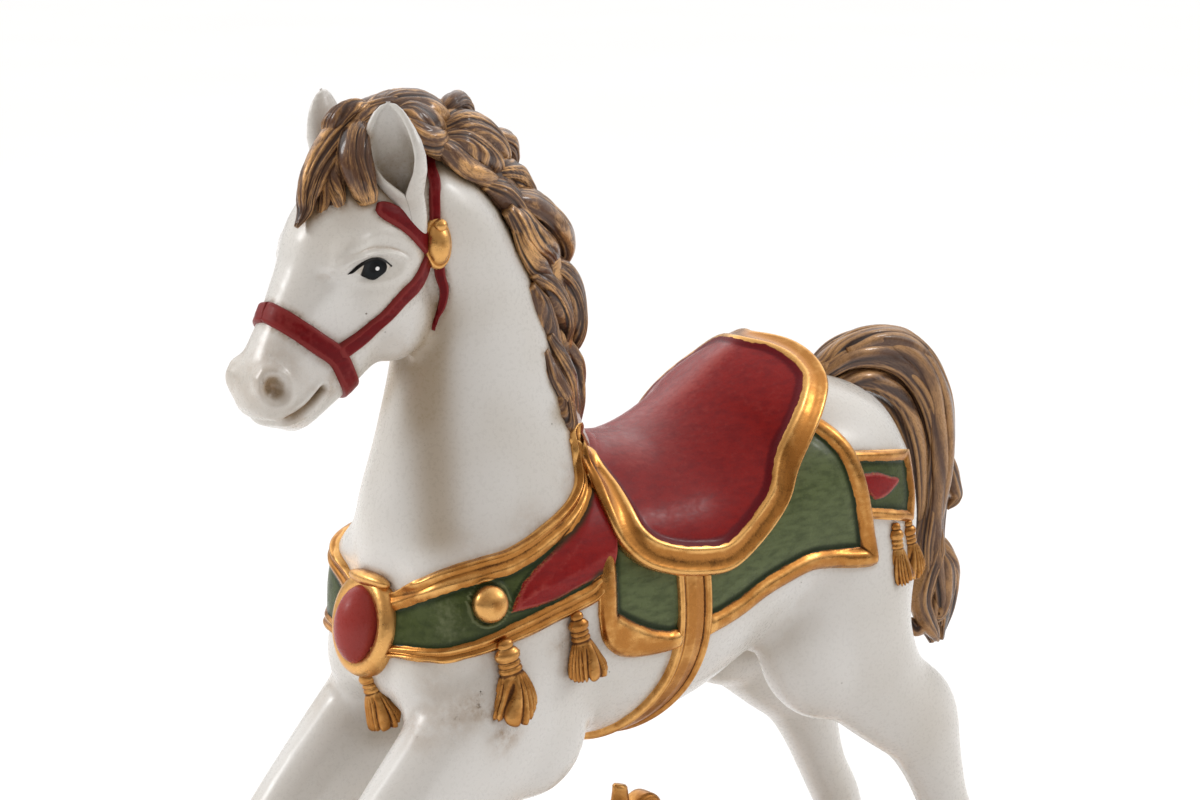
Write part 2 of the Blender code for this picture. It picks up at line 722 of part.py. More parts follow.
def board(angle, reach):
    """A cross board lying on both rails at an angle along their curve."""
    thick, wide, taper, sunk = 6.0, 24.0, 2.0, 1.0
    corners = [(-1, 0), (1, 0), (1, 1), (-1, 1)]
    rings = []
    for y in (-reach, taper - reach, reach - taper, reach):
        ease = 1.5 if abs(y) == reach else 0
        ring = []
        for along, up in corners:
            across = angle + along * (wide / 2 - ease) / ROCK_RADIUS
            ring.append(on_arc(across, RAIL_DEPTH - sunk + up * thick) + (0, y, 0))
        rings.append(np.array(ring))
    return mesh_object("board", *skin(rings), at=0.0)


def crest():
    """The carved crest on the middle board: a baluster, two volutes and a cut-off bud."""
    foot = RAIL_DEPTH + 3
    #     height, radius
    turned = [
        (foot, 12),
        (foot + 4, 12),
        (foot + 6, 7),
        (foot + 14, 5),
        (foot + 26, 9),
        (foot + 36, 9.5),
        (foot + 50, 5),
        (foot + 62, 4.2),
        (foot + 70, 6.5),
        (foot + 80, 6.5),
        (CREST_TOP - 12, 4.6),
        (CREST_TOP - 5, 2.9),
        (CREST_TOP, 2.3),
    ]
    turn = np.linspace(0, 2 * math.pi, 16, endpoint=False)
    circle = np.stack([np.cos(turn), 0.8 * np.sin(turn), 0 * turn], axis=1)
    rings = [circle * radius + (0, 0, height) for height, radius in turned]
    rings[-1][:, 2] += 0.25 * rings[-1][:, 0] - 0.6  # the bud is cut off at a slant
    forms = [mesh_object("baluster", *skin(rings), at=0.0)]
    for along, below in ((-8.6, 10.3), (8.6, 15.5)):
        forms.append(disc(np.array((along, 0, CREST_TOP - below)), 5.6, 7, 14))
    return forms


def union(name, objects):
    """Joins overlapping solids exactly."""
    first = objects[0]
    for other in objects[1:]:
        cut = first.modifiers.new("join", "BOOLEAN")
        cut.operation = "UNION"
        cut.solver = "EXACT"
        cut.object = other
        bake(first)
        bpy.data.objects.remove(other)
    first.name = name
    return first


def stand():
    """The whole stand: rockers with volutes at their ends, boards and crest."""
    forms = [rail(1), rail(-1)]
    for angle in (-BOARD_ANGLE, 0.0, BOARD_ANGLE):
        forms.append(board(angle, BOARD_REACH))
    end = math.asin(RAIL_REACH / ROCK_RADIUS)
    for angle in (-end, end):
        for side in (1, -1):
            centre = on_arc(angle, VOLUTE_RADIUS) + (0, side * RAIL_OUT, 0)
            forms.append(disc(centre, VOLUTE_RADIUS, RAIL_WIDTH + 2))
    return union("rocker_stand", forms + crest())


# ---------------------------------------------------------------- finish

HORSE_TRIANGLES = 6400


def trim_soles(obj):
    """Brings the soles to the curve of the rails, with a hair's gap."""
    limit = ROCK_RADIUS - RAIL_DEPTH - SOLE_GAP
    for v in obj.data.vertices:
        x, z = v.co.x / MM, v.co.z / MM - CENTRE_UP
        out = math.hypot(x, z)
        if out > limit:
            v.co.x *= limit / out
            v.co.z = (CENTRE_UP + z * limit / out) * MM


def lighten(obj, triangles):
    """Reduces a dense skin to about this many triangles."""
    count = sum(len(f.vertices) - 2 for f in obj.data.polygons)
    fewer = obj.modifiers.new("lighten", "DECIMATE")
    fewer.ratio = triangles / count
    return bake(obj)


def material(name, colour, roughness, metallic=0.0):
    """A plain Principled material."""
    made = bpy.data.materials.new(name)
    made.use_nodes = True
    shader = made.node_tree.nodes["Principled BSDF"]
    shader.inputs["Base Color"].default_value = (*colour, 1)
    shader.inputs["Roughness"].default_value = roughness
    shader.inputs["Metallic"].default_value = metallic
    return made


def main():
    """Builds the horse and its stand and gives each its own finish."""
    start_clean()
    bare = body()
    skin_of = Skin(bare)
    forms = [bare, saddle(skin_of), girth(skin_of), *medallion(), *tassels(), *bridle(skin_of)]
    for sign in (1, -1):
        forms += blanket(skin_of, sign) + [crupper(skin_of, sign)] + collar(skin_of, sign)
        forms.append(stud("boss", skin_of, BOSS_AT * (1, sign, 1), 5, 3.6))
    forms += mane() + forelock() + [loft("tail", TAIL, count=36, around=18)]
    horse = fuse("horse", forms, voxel=1.1, smooth=1)
    trim_soles(horse)
    lighten(horse, HORSE_TRIANGLES)
    finishes = {"horse": material("ivory_enamel", (0.80, 0.77, 0.70), 0.35)}
    finishes["rocker_stand"] = material("antique_gold", (0.55, 0.33, 0.10), 0.4, 0.6)
    for obj in (horse, stand()):
        obj.data.materials.clear()
        obj.data.materials.append(finishes[obj.name])
        obj.data.shade_smooth()
        obj.data.set_sharp_from_angle(angle=math.radians(40))
        bpy.data.collections["forms"].objects.unlink(obj)
        bpy.data.collections[NAME].objects.link(obj)
    bpy.data.collections.remove(bpy.data.collections["forms"])


main()
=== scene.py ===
# %% [markdown]
# # A painted rocking horse, made like a casting
# The real ornament is one hollow resin casting, brushed by hand with ivory, red, green and gold enamel.
# This lesson builds its looks around a packed engineering model of the same horse. All places are in the
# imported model's own frame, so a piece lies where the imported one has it. Each cell below adds one thing: a
# form, some tack, or a paint. Lengths are written in millimetres, because the ornament is small, and turned
# into metres where a mesh is made.

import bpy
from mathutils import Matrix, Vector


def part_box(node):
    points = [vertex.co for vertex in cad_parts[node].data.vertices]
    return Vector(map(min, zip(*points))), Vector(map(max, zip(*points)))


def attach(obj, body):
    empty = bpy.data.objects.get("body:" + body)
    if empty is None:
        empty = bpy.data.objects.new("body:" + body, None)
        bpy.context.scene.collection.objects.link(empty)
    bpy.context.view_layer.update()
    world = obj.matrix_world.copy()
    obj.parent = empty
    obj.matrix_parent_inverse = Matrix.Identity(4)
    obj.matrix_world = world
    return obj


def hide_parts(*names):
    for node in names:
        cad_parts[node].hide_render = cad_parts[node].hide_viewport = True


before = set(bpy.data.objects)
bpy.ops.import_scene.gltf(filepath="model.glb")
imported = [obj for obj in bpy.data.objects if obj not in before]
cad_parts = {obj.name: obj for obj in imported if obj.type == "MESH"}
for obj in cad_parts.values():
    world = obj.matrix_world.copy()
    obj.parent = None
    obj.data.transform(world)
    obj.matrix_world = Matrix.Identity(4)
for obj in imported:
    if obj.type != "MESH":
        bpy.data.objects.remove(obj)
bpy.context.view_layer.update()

import math

import bmesh
import bpy
import numpy as np
from mathutils import Vector
from mathutils.bvhtree import BVHTree
from mathutils.kdtree import KDTree

MM = 0.001
SADDLE = np.array((7.6, 0.0, 232.0))  # inside the saddle; the horse's points are measured from here
LEFT = np.array((0.0, 1.0, 0.0))  # towards the horse's left side
stand_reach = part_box("rocker_stand")[1]

# %% [markdown]
# ## Helpers: from lists of points to closed meshes
# A casting is closed, so every helper here makes closed meshes. `spread` draws a smooth curve through a few
# chosen points. `oval_ring` lays points round an oval, and `tube` skins a stack of such rings. `solid` turns
# points and faces into an object, and asks Blender to turn all faces outwards.

# %% Mesh helpers
SIDES = {"left": np.array((1, 1, 1)), "right": np.array((1, -1, 1))}


def solid(name, points, faces, at=SADDLE):
    """An object from points in millimetres, its faces turned outwards."""
    mesh = bpy.data.meshes.new(name)
    mesh.from_pydata(((np.asarray(points, float) + at) * MM).tolist(), [], [tuple(f) for f in faces])
    work = bmesh.new()
    work.from_mesh(mesh)
    bmesh.ops.recalc_face_normals(work, faces=work.faces)
    if work.calc_volume(signed=True) < 0:
        bmesh.ops.reverse_faces(work, faces=work.faces)
    work.to_mesh(mesh)
    work.free()
    mesh.shade_smooth()
    obj = bpy.data.objects.new(name, mesh)
    bpy.context.scene.collection.objects.link(obj)
    return obj


def join(name, pieces):
    """Several meshes as one piece."""
    bpy.ops.object.select_all(action="DESELECT")
    for piece in pieces:
        piece.select_set(True)
    bpy.context.view_layer.objects.active = pieces[0]
    bpy.ops.object.join()
    pieces[0].name = name
    return pieces[0]


def spread(rows, count):
    """A smooth run of `count` rows through `rows`, evenly spaced along their first three columns."""
    rows = np.array(rows, float)
    ends = np.vstack([2 * rows[0] - rows[1], rows, 2 * rows[-1] - rows[-2]])
    knots = np.concatenate([[0], np.cumsum(np.linalg.norm(np.diff(rows[:, :3], axis=0), axis=1))])
    made = []
    for at in np.linspace(0, knots[-1], count):
        k = min(np.searchsorted(knots, at, side="right") - 1, len(rows) - 2)
        t = (at - knots[k]) / (knots[k + 1] - knots[k])
        a, b, c, d = ends[k : k + 4]
        bend = (2 * a - 5 * b + 4 * c - d) * t**2 + (3 * b - a - 3 * c + d) * t**3
        made.append(0.5 * (2 * b + (c - a) * t + bend))
    return np.array(made)


def tube_faces(count, around):
    """Faces of a tube of `count` rings, with a fan over each end; the two end points come last."""
    faces = []
    last = (count - 1) * around
    for j in range(around):
        k = (j + 1) % around
        for i in range(count - 1):
            near, far = i * around, (i + 1) * around
            faces.append((near + j, near + k, far + k, far + j))
        faces.append((count * around, k, j))
        faces.append((count * around + 1, last + j, last + k))
    return faces


def tube(rings):
    """Points and faces of a closed tube through rings of equal length."""
    rings = np.array(rings, float)
    count, around = rings.shape[:2]
    points = np.vstack([rings.reshape(-1, 3), rings[0].mean(axis=0), rings[-1].mean(axis=0)])
    return points, tube_faces(count, around)


def slab(top, under):
    """Points and faces of the closed solid between two grids of the same size."""
    rows, cols = top.shape[:2]
    size = rows * cols
    faces = []
    for i in range(rows - 1):
        for j in range(cols - 1):
            a = i * cols + j
            faces.append((a, a + 1, a + cols + 1, a + cols))
            faces.append((size + a, size + a + cols, size + a + cols + 1, size + a + 1))
    edge = list(range(cols)) + [i * cols + cols - 1 for i in range(1, rows)]
    edge += [(rows - 1) * cols + j for j in range(cols - 2, -1, -1)]
    edge += [i * cols for i in range(rows - 2, 0, -1)]
    faces += [(a, a + size, b + size, b) for a, b in zip(edge, edge[1:] + edge[:1])]
    return np.vstack([top.reshape(-1, 3), under.reshape(-1, 3)]), faces


def unit(rows):
    """Vectors brought to length one."""
    rows = np.asarray(rows, float)
    return rows / np.maximum(np.linalg.norm(rows, axis=-1, keepdims=True), 1e-9)


def ease(value, low, high):
    """0 below low, 1 above high, and a soft step between."""
    t = np.clip((np.asarray(value, float) - low) / (high - low), 0, 1)
    return t * t * (3 - 2 * t)


def circle(count):
    """Angles evenly round a circle."""
    return np.linspace(0, 2 * math.pi, count, endpoint=False)


def oval_ring(centre, turn, wide, side, tall, up):
    """Points round an oval, which reaches `wide` along `side` and `tall` along `up`."""
    return centre + np.outer(np.cos(turn) * wide, side) + np.outer(np.sin(turn) * tall, up)


# %% [markdown]
# ## Blocking out the body
# A modeller starts with simple masses: barrel, neck, legs, head. Here each mass is a loft, a stack of oval
# rings along a path, or an egg. A Voxel Remesh then melts the overlapping masses into one skin, the way
# clay is pressed together, and a Smooth modifier softens the joins. The legs and barrel want heavy
# smoothing and the head very little, so they are fused in two goes.

# %% Lofts, eggs and fusing
def oval(wide, up, down, power, around):
    """A section as side and height offsets: a superellipse with its own reach above and below."""
    turn = circle(around)
    c, s = np.cos(turn), np.sin(turn)
    side = wide * np.sign(c) * np.abs(c) ** (2 / power)
    return side, np.where(s >= 0, up, down) * np.sign(s) * np.abs(s) ** (2 / power)


def loft(name, stations, count, around, power=2.0):
    """A form along a path. A station is x, y, z, half width, reach in front and reach behind."""
    rows = spread(stations, count)
    runs = unit(np.gradient(rows[:, :3], axis=0))
    rings = []
    for row, run in zip(rows, runs):
        across = unit(LEFT - run * (run @ LEFT))
        wide, front, back = np.maximum(row[3:6], 0.4)
        s, h = oval(wide, front, back, power, around)
        rings.append(row[:3] + np.outer(s, across) + np.outer(h, np.cross(run, across)))
    return solid(name, *tube(rings))


def egg(name, centre, radii, lean=0.0, around=24):
    """An ellipsoid, leant forward in the side view by `lean` degrees."""
    c, s = math.cos(math.radians(lean)), math.sin(math.radians(lean))
    rings = []
    cap = 0.08  # the angle from each pole to the first ring
    for down in np.linspace(cap, math.pi - cap, around // 2):
        turn = circle(around)
        x = radii[0] * math.sin(down) * np.cos(turn)
        y = radii[1] * math.sin(down) * np.sin(turn)
        z = radii[2] * math.cos(down) + 0 * turn
        rings.append(np.stack([c * x + s * z, y, c * z - s * x], axis=1) + centre)
    return solid(name, *tube(rings))


def both_sides(make, name, points, *args, drift=0.0, **kwargs):
    """Makes the left form and its mirror image, moved forward by `drift`."""
    made = []
    for label, turn in SIDES.items():
        flipped = np.array(points, float)
        flipped[..., 1] *= turn[1]
        flipped[..., 0] += drift if label == "right" else 0
        made.append(make(f"{name}_{label}", flipped, *args, **kwargs))
    return made


def bake(obj):
    """Applies an object's modifiers."""
    graph = bpy.context.evaluated_depsgraph_get()
    mesh = bpy.data.meshes.new_from_object(obj.evaluated_get(graph))
    obj.modifiers.clear()
    obj.data = mesh
    return obj


def fuse(name, objects, voxel, smooth):
    """One skin over several overlapping forms, softened where they meet."""
    obj = join(name, objects)
    melt = obj.modifiers.new("melt", "REMESH")
    melt.mode = "VOXEL"
    melt.voxel_size = voxel * MM
    soft = obj.modifiers.new("soften", "SMOOTH")
    soft.factor = 0.5
    soft.iterations = smooth
    return bake(obj)


# %% Barrel and neck
def trunk():
    """Barrel and hindquarters, from the buttocks to the breast."""
    #     x, top z, bottom z, half width
    rows = [
        (-117.5, -35, -56, 7), (-113.5, -25, -66, 15), (-105, -17.5, -72, 22), (-95, -10.5, -76, 28.5),
        (-80, -2.5, -76, 33), (-60, -0.5, -74, 33.5), (-35, -8, -82, 33.5), (-14, -10, -91, 34.5),
        (0, -10, -94, 34.5), (18, -9, -94, 34), (42, -10, -89, 33), (58, -15, -83, 32), (69, -23, -78, 30),
        (76, -33, -73, 26), (81, -38, -66, 17), (83, -45, -58, 7),
    ]
    stations = [(x, 0, (top + low) / 2, wide, (top - low) / 2, (top - low) / 2) for x, top, low, wide in rows]
    return loft("trunk", stations, count=44, around=32, power=2.2)


def neck():
    """Neck, from inside the breast up to the poll."""
    #     x, z, half width, reach to the crest, reach to the throat
    rows = [
        (44, -48, 30, 40, 36), (44.5, -22, 26.5, 39, 36), (45.5, 0, 21.5, 33, 29), (47, 20, 18, 26, 22.7),
        (50, 40, 15.5, 20.5, 17.5), (58, 56, 14, 17, 16), (69, 66, 12, 13, 13),
    ]
    stations = [(x, 0, z, wide, back, front) for x, z, wide, back, front in rows]
    return loft("neck", stations, count=30, around=28)


HEAD_FROM = np.array((76.0, 0.0, 74.0))  # the poll
HEAD_RUN = np.array((0.616, 0.0, -0.788))  # from poll to muzzle
HEAD_FACE = np.array((0.788, 0.0, 0.616))  # out of the forehead


def head_point(run, out, side=0.0):
    """A point on the head from its distance down the face, out of the face and to the left."""
    return HEAD_FROM + run * HEAD_RUN + out * HEAD_FACE + np.array((0, side, 0))


def head():
    """The wedge of the head with its jowls, brows, nostrils and lips."""
    #     run, forehead line, jaw line, half width
    rows = [
        (0, 6, -14, 8), (8, 10, -22, 12.6), (17, 12, -27.5, 15), (25, 11.4, -30, 15), (34, 8.8, -30.5, 12.8),
        (43, 7, -29.5, 11.5), (52, 5.2, -27, 10.2), (60, 3.8, -24, 10.2), (67.5, 2, -21, 10.2),
        (73, -3, -17, 7.5),
    ]
    stations = []
    for run, out, jaw, wide in rows:
        stations.append((*head_point(run, (out + jaw) / 2), wide, (out - jaw) / 2, (out - jaw) / 2))
    forms = [loft("skull", stations, count=36, around=28, power=2.3)]
    forms += both_sides(egg, "jowl", head_point(26, -14, 7.5), (15, 8.5, 13), lean=40)
    forms += both_sides(egg, "brow", head_point(26.5, 0, 10.5), (7.5, 5.5, 6), lean=50)
    forms += both_sides(egg, "nostril", head_point(65, -3, 5.6), (6, 5, 6), lean=50)
    forms.append(egg("lip", head_point(68.2, -9), (6.5, 8.5, 7.5), lean=50))
    forms += both_sides(egg, "ear_root", (74.0, 9.4, 57.5), (6.0, 3.6, 4.2))
    forms += both_sides(egg, "jaw", (75.5, 6, 33.5), (12.5, 6.2, 11.6), lean=40)
    forms.append(egg("chin", head_point(65.5, -17), (6.5, 7, 5.2), lean=50))
    return forms


# %% Legs and muscles
FORE_DRIFT, HIND_DRIFT = -5.0, 2.5  # how far forward the right legs stand of the left ones


def legs():
    """Forelegs stretched forward and hind legs stretched back, down to the rockers."""
    #     x, y, z, half width, reach in front, reach behind
    fore = [
        (36, 17, -40, 12, 19, 22), (46, 20, -57, 13.2, 19.5, 30), (60, 21.6, -72, 12.4, 16.8, 31.5),
        (80, 22.2, -89, 10.8, 13.4, 25.5), (99, 22.4, -107, 9.2, 11.6, 15.5), (113, 23, -123, 8.4, 9.8, 10.5),
        (119.5, 24, -133, 7.6, 9, 8.8), (125, 25, -146, 5.6, 6.4, 6.4), (129.5, 25.6, -158, 5.4, 6.2, 6.6),
        (133.5, 26.4, -167, 6.8, 7.4, 8), (137, 26.7, -174, 6.2, 7, 7), (141, 27, -181, 8.2, 9.2, 9),
        (145.5, 27, -193, 9.8, 11, 10.6),
    ]
    hind = [
        (-80, 15, -36, 16, 32, 25), (-80, 19, -58, 16, 33, 26), (-82, 22, -78, 14.5, 32, 19.5),
        (-91, 24.5, -96, 12.5, 19, 15), (-104.5, 25.5, -110, 10.8, 15, 16.2),
        (-111.5, 26, -124, 8.6, 11, 11.5), (-118, 26, -140, 7.2, 8.6, 9), (-125, 26, -154, 7, 7.8, 9.8),
        (-132, 26.2, -166, 5.5, 6.3, 6.6), (-138.5, 26.5, -175, 6.5, 7.2, 7.6), (-143, 26.8, -181, 6.2, 7, 7),
        (-148, 27, -187, 8, 8.8, 9), (-154.5, 27, -197, 9.6, 10.6, 10.8),
    ]
    made = both_sides(loft, "foreleg", fore, drift=FORE_DRIFT, count=44, around=20)
    return made + both_sides(loft, "hind_leg", hind, drift=HIND_DRIFT, count=44, around=20)


def muscles():
    """Shoulder, breast, elbow, stifle and haunch masses that swell the trunk."""
    forms = []
    forms += both_sides(egg, "shoulder", (54, 18, -50), (23, 13, 26), lean=20)
    forms += both_sides(egg, "breast", (66.5, 14.5, -62), (16, 14, 17), lean=-20)
    forms += both_sides(egg, "elbow", (41, 21, -86), (18, 11, 15), lean=45)
    forms += both_sides(egg, "haunch", (-80.5, 16.5, -44), (28, 16.5, 35), lean=8)
    forms += both_sides(egg, "stifle", (-67, 22.0, -82), (25, 13, 20), lean=-40)
    return forms


VOXEL = 1.6
BODY_SMOOTHING, HEAD_SMOOTHING = 22, 3
heavy = fuse("heavy", [trunk(), neck(), *legs(), *muscles()], VOXEL, BODY_SMOOTHING)
body = fuse("body", [heavy, *head()], VOXEL, HEAD_SMOOTHING)
print("body blocked out:", len(body.data.vertices), "points")

# %% [markdown]
# ## The surface to lay tack on, and clay to push about
# Straps, blanket and collar follow the body, so a search tree answers "where is the nearest skin, and which
# way does it face?". The class `Clay` holds a mesh as arrays of numbers. With it a whole region is pushed in
# or out at once, as a thumb does, and the hollows are found by comparing a surface with a smoothed copy.

# %% Skin and clay
OUTSIDE = 120  # further out to the side than any point of the horse


class Skin:
    """The surface of a finished form, to lay straps and plates on."""

    def __init__(self, *objects):
        points, faces = [], []
        for obj in objects:
            start = len(points)
            points += [Vector(np.array(v.co) / MM - SADDLE) for v in obj.data.vertices]
            faces += [[start + k for k in f.vertices] for f in obj.data.polygons]
        self.tree = BVHTree.FromPolygons(points, faces)

    def near(self, point):
        """The nearest place on the surface, and the way it faces there."""
        place, normal, _, _ = self.tree.find_nearest(Vector(point))
        return np.array(place), np.array(normal)

    def beside(self, x, z, side):
        """The point seen straight from the side at x, z."""
        place, _, _, _ = self.tree.ray_cast(Vector((x, side * OUTSIDE, z)), Vector((0, -side, 0)))
        return np.array(place)


class Clay:
    """A mesh held as arrays, to be pushed about."""

    def __init__(self, obj):
        self.mesh = obj.data
        count = len(self.mesh.vertices)
        flat = np.empty(count * 3, np.float32)
        self.mesh.vertices.foreach_get("co", flat)
        self.at = flat.reshape(-1, 3).astype(float) / MM - SADDLE
        pairs = np.empty(len(self.mesh.edges) * 2, np.int32)
        self.mesh.edges.foreach_get("vertices", pairs)
        self.a, self.b = pairs.reshape(-1, 2).T
        neighbours = np.bincount(self.a, minlength=count) + np.bincount(self.b, minlength=count)
        self.neighbours = np.maximum(neighbours, 1)
        self.measure()

    def measure(self):
        """Writes the points back and reads the normals."""
        self.mesh.vertices.foreach_set("co", ((self.at + SADDLE) * MM).astype(np.float32).ravel())
        self.mesh.update()
        flat = np.empty(len(self.at) * 3, np.float32)
        self.mesh.vertices.foreach_get("normal", flat)
        self.normal = flat.reshape(-1, 3).astype(float)

    def around(self, values):
        """For each point, the mean of its neighbours' values."""
        if values.ndim == 2:
            return np.stack([self.around(v) for v in values.T], axis=1)
        count = len(values)
        total = np.bincount(self.a, values[self.b], count) + np.bincount(self.b, values[self.a], count)
        return total / self.neighbours

    def soften(self, times, where):
        """Smooths the points, each by its own share in `where`."""
        share = 0.5 * where[:, None]
        for _ in range(times):
            self.at += share * (self.around(self.at) - self.at)

    def push(self, amount):
        """Moves the points along their normals by `amount` millimetres."""
        self.at += self.normal * np.asarray(amount)[:, None]
        self.measure()

    def hollows(self, times, depth):
        """How deep each point lies under a smoothed copy, 1 at `depth`; ridges come out below 0."""
        smooth = self.at.copy()
        for _ in range(times):
            smooth = 0.5 * (smooth + self.around(smooth))
        return np.clip(np.einsum("ij,ij->i", smooth - self.at, self.normal) / depth, -1, 1)


def note(obj, name, values):
    """Stores one number for each point of a mesh, for its paint to read."""
    layer = obj.data.attributes.new(name, "FLOAT", "POINT")
    layer.data.foreach_set("value", np.asarray(values, np.float32))


skin = Skin(body)

# %% [markdown]
# ## Sculpting the face
# The remesh is too coarse for eyelids, so the faces of the head are subdivided first, and those round the
# eye, nostril and mouth twice. Each feature is then a soft-edged push along the normals: a ring of flesh
# round the nostril and a pit in it, a furrow for the mouth with a lip on each side, and lids round the eye.

# %% Finer clay where the face is
EYE, EYE_REACH = np.array((87.9, 14.5, 48.6)), 11  # the middle of the left eye; its lids lie within reach
MUZZLE, MUZZLE_REACH = (110, 6, 15), 13
NOSTRIL = np.array((115.2, 10.1, 20.1))
MOUTH = [
    (100.8, 9.9, 18.1), (105, 9.9, 14.9), (109.4, 9.2, 12.4), (112.8, 7.4, 10.9), (115, 4, 10.4),
    (115.8, 0, 10.4),
]


def refine(obj, inside):
    """Splits the faces whose points all lie inside."""
    work = bmesh.new()
    work.from_mesh(obj.data)
    points = np.array([v.co for v in work.verts]) / MM - SADDLE
    chosen = inside(points)
    work.verts.ensure_lookup_table()
    edges = [e for e in work.edges if chosen[e.verts[0].index] and chosen[e.verts[1].index]]
    bmesh.ops.subdivide_edges(work, edges=edges, cuts=1, use_grid_fill=True)
    work.to_mesh(obj.data)
    work.free()


def mirrored(points):
    """The points with their sideways place made positive, so that one feature serves both sides."""
    return np.abs(points * (0, 1, 0)) + points * (1, 0, 1)


def near_feature(points):
    """Where the eyes, nostrils and mouth are."""
    p = mirrored(points)
    eye = np.linalg.norm((p - EYE) * (1, 0.6, 1), axis=1) < EYE_REACH
    muzzle = np.linalg.norm((p - MUZZLE) * (1, 0.5, 1), axis=1) < MUZZLE_REACH
    return eye | muzzle


def on_head(points):
    """Where the head is: below the poll and in front of the throat."""
    run = (points - HEAD_FROM) @ HEAD_RUN
    out = (points - HEAD_FROM) @ HEAD_FACE
    return (run > 2) & (out > -34)


refine(body, on_head)
refine(body, near_feature)
clay = Clay(body)
clay.soften(3, on_head(clay.at).astype(float))
clay.soften(3, near_feature(clay.at).astype(float))
clay.measure()
print("body refined:", len(clay.at), "points")

# %% Eyes, nostrils, mouth and cheeks
def bell(distance, width):
    """A soft push that fades with distance."""
    return np.exp(-((distance / width) ** 2))


def line_distance(points, line):
    """The distance from each point to a drawn line."""
    steps = spread(line, 60)
    return np.min(np.linalg.norm(points[:, None] - steps[None], axis=2), axis=1)


def sculpt_face():
    """Pushes the lids, cheeks, mouth and nostrils into shape."""
    p = mirrored(clay.at)
    head_only = on_head(clay.at).astype(float)
    # eye: a shallow socket, a lid above and below, a soft fold over the upper lid and the brow bone over that
    dx, dz = p[:, 0] - EYE[0], p[:, 2] - EYE[2]
    sideways = ease(p[:, 1], 7, 10) * (np.abs(dx) < 18) * (np.abs(dz) < 18)
    across = np.hypot(dx / 7.4, (dz - 0.3) / 3.0)
    upper = ease(dz, -1.5, 1.5)
    lids = 1.05 * bell(across - 1.3, 0.24) * (0.3 + 0.7 * upper) - 0.55 * bell(across, 0.95)
    fold = np.hypot((dx + 1.0) / 9.5, (dz + 0.6) / 7.0)
    lids += upper * (-0.4 * bell(fold - 0.9, 0.2) + 0.5 * bell(fold - 1.35, 0.3))
    lids += (1 - upper) * -0.15 * bell(across - 1.95, 0.35)
    amount = sideways * lids
    # mouth: a furrow between two lips, deepest at the corner
    deep = 1.0 + 0.8 * ease(-p[:, 0], -106, -101)
    gap = line_distance(p, MOUTH)
    shown = 1 - 0.75 * ease(p[:, 0], 109, 113)
    amount += head_only * shown * (-1.7 * deep * bell(gap, 0.72) + 0.5 * bell(gap - 2.1, 1.0))
    # cheek: the flat of the jaw stands out, and the face is hollow in front of it
    run, out = (p - HEAD_FROM) @ HEAD_RUN, (p - HEAD_FROM) @ HEAD_FACE
    side_on = ease(p[:, 1], 5, 9)
    amount += side_on * (-0.9 * bell(np.hypot((run - 47) / 9, (out + 9) / 6), 1))
    amount += side_on * 0.8 * bell(np.hypot((run - 38) / 11, (out + 1) / 3), 1)
    clay.push(amount * head_only)
    dark = head_only * bell(line_distance(p, MOUTH[:3]), 0.9)
    # nostril: a raised oval ring, then a pit sunk straight inwards
    for turn in SIDES.values():
        place, normal = Skin(body).near(NOSTRIL * turn)
        offset = clay.at - place
        depth = offset @ normal
        tilt = unit(np.array((0.5, 0, 0.87)))
        tall = offset @ tilt
        wide = np.sqrt(np.maximum(np.einsum("ij,ij->i", offset, offset) - depth**2 - tall**2, 0))
        away = np.hypot(wide / 2.9, tall / 3.6)
        near = np.abs(depth) < 5
        clay.at += (near * (0.6 * bell(away - 1.45, 0.36) - 3.4 * bell(away, 0.85)))[:, None] * normal
        dark = np.maximum(dark, near * (1 - ease(away, 0.65, 1.1)))
    clay.measure()
    note(body, "inside", dark)


sculpt_face()
print("face sculpted")

# %% [markdown]
# ## Ears
# A horse's ear is a leaf rolled into a cup. Each is a slab between two grids: the inside of the cup and its
# back, with a little thickness between. They are pieces of their own, because a voxel remesh eats thin walls.

# %% Ears
EAR_WIDTH = [
    (0, 3.6), (0.34, 4.5), (0.42, 5.7), (0.5, 7.0), (0.6, 7.8), (0.7, 7.7), (0.8, 6.8), (0.88, 5.4),
    (0.94, 3.9), (0.98, 2.2), (1, 0.5),
]
EAR_OPEN = [(0, 179.8), (0.38, 179.5), (0.45, 160), (0.53, 140), (0.63, 124), (0.77, 113), (1, 100)]
EAR_WALL = 0.95  # half the ear's thickness


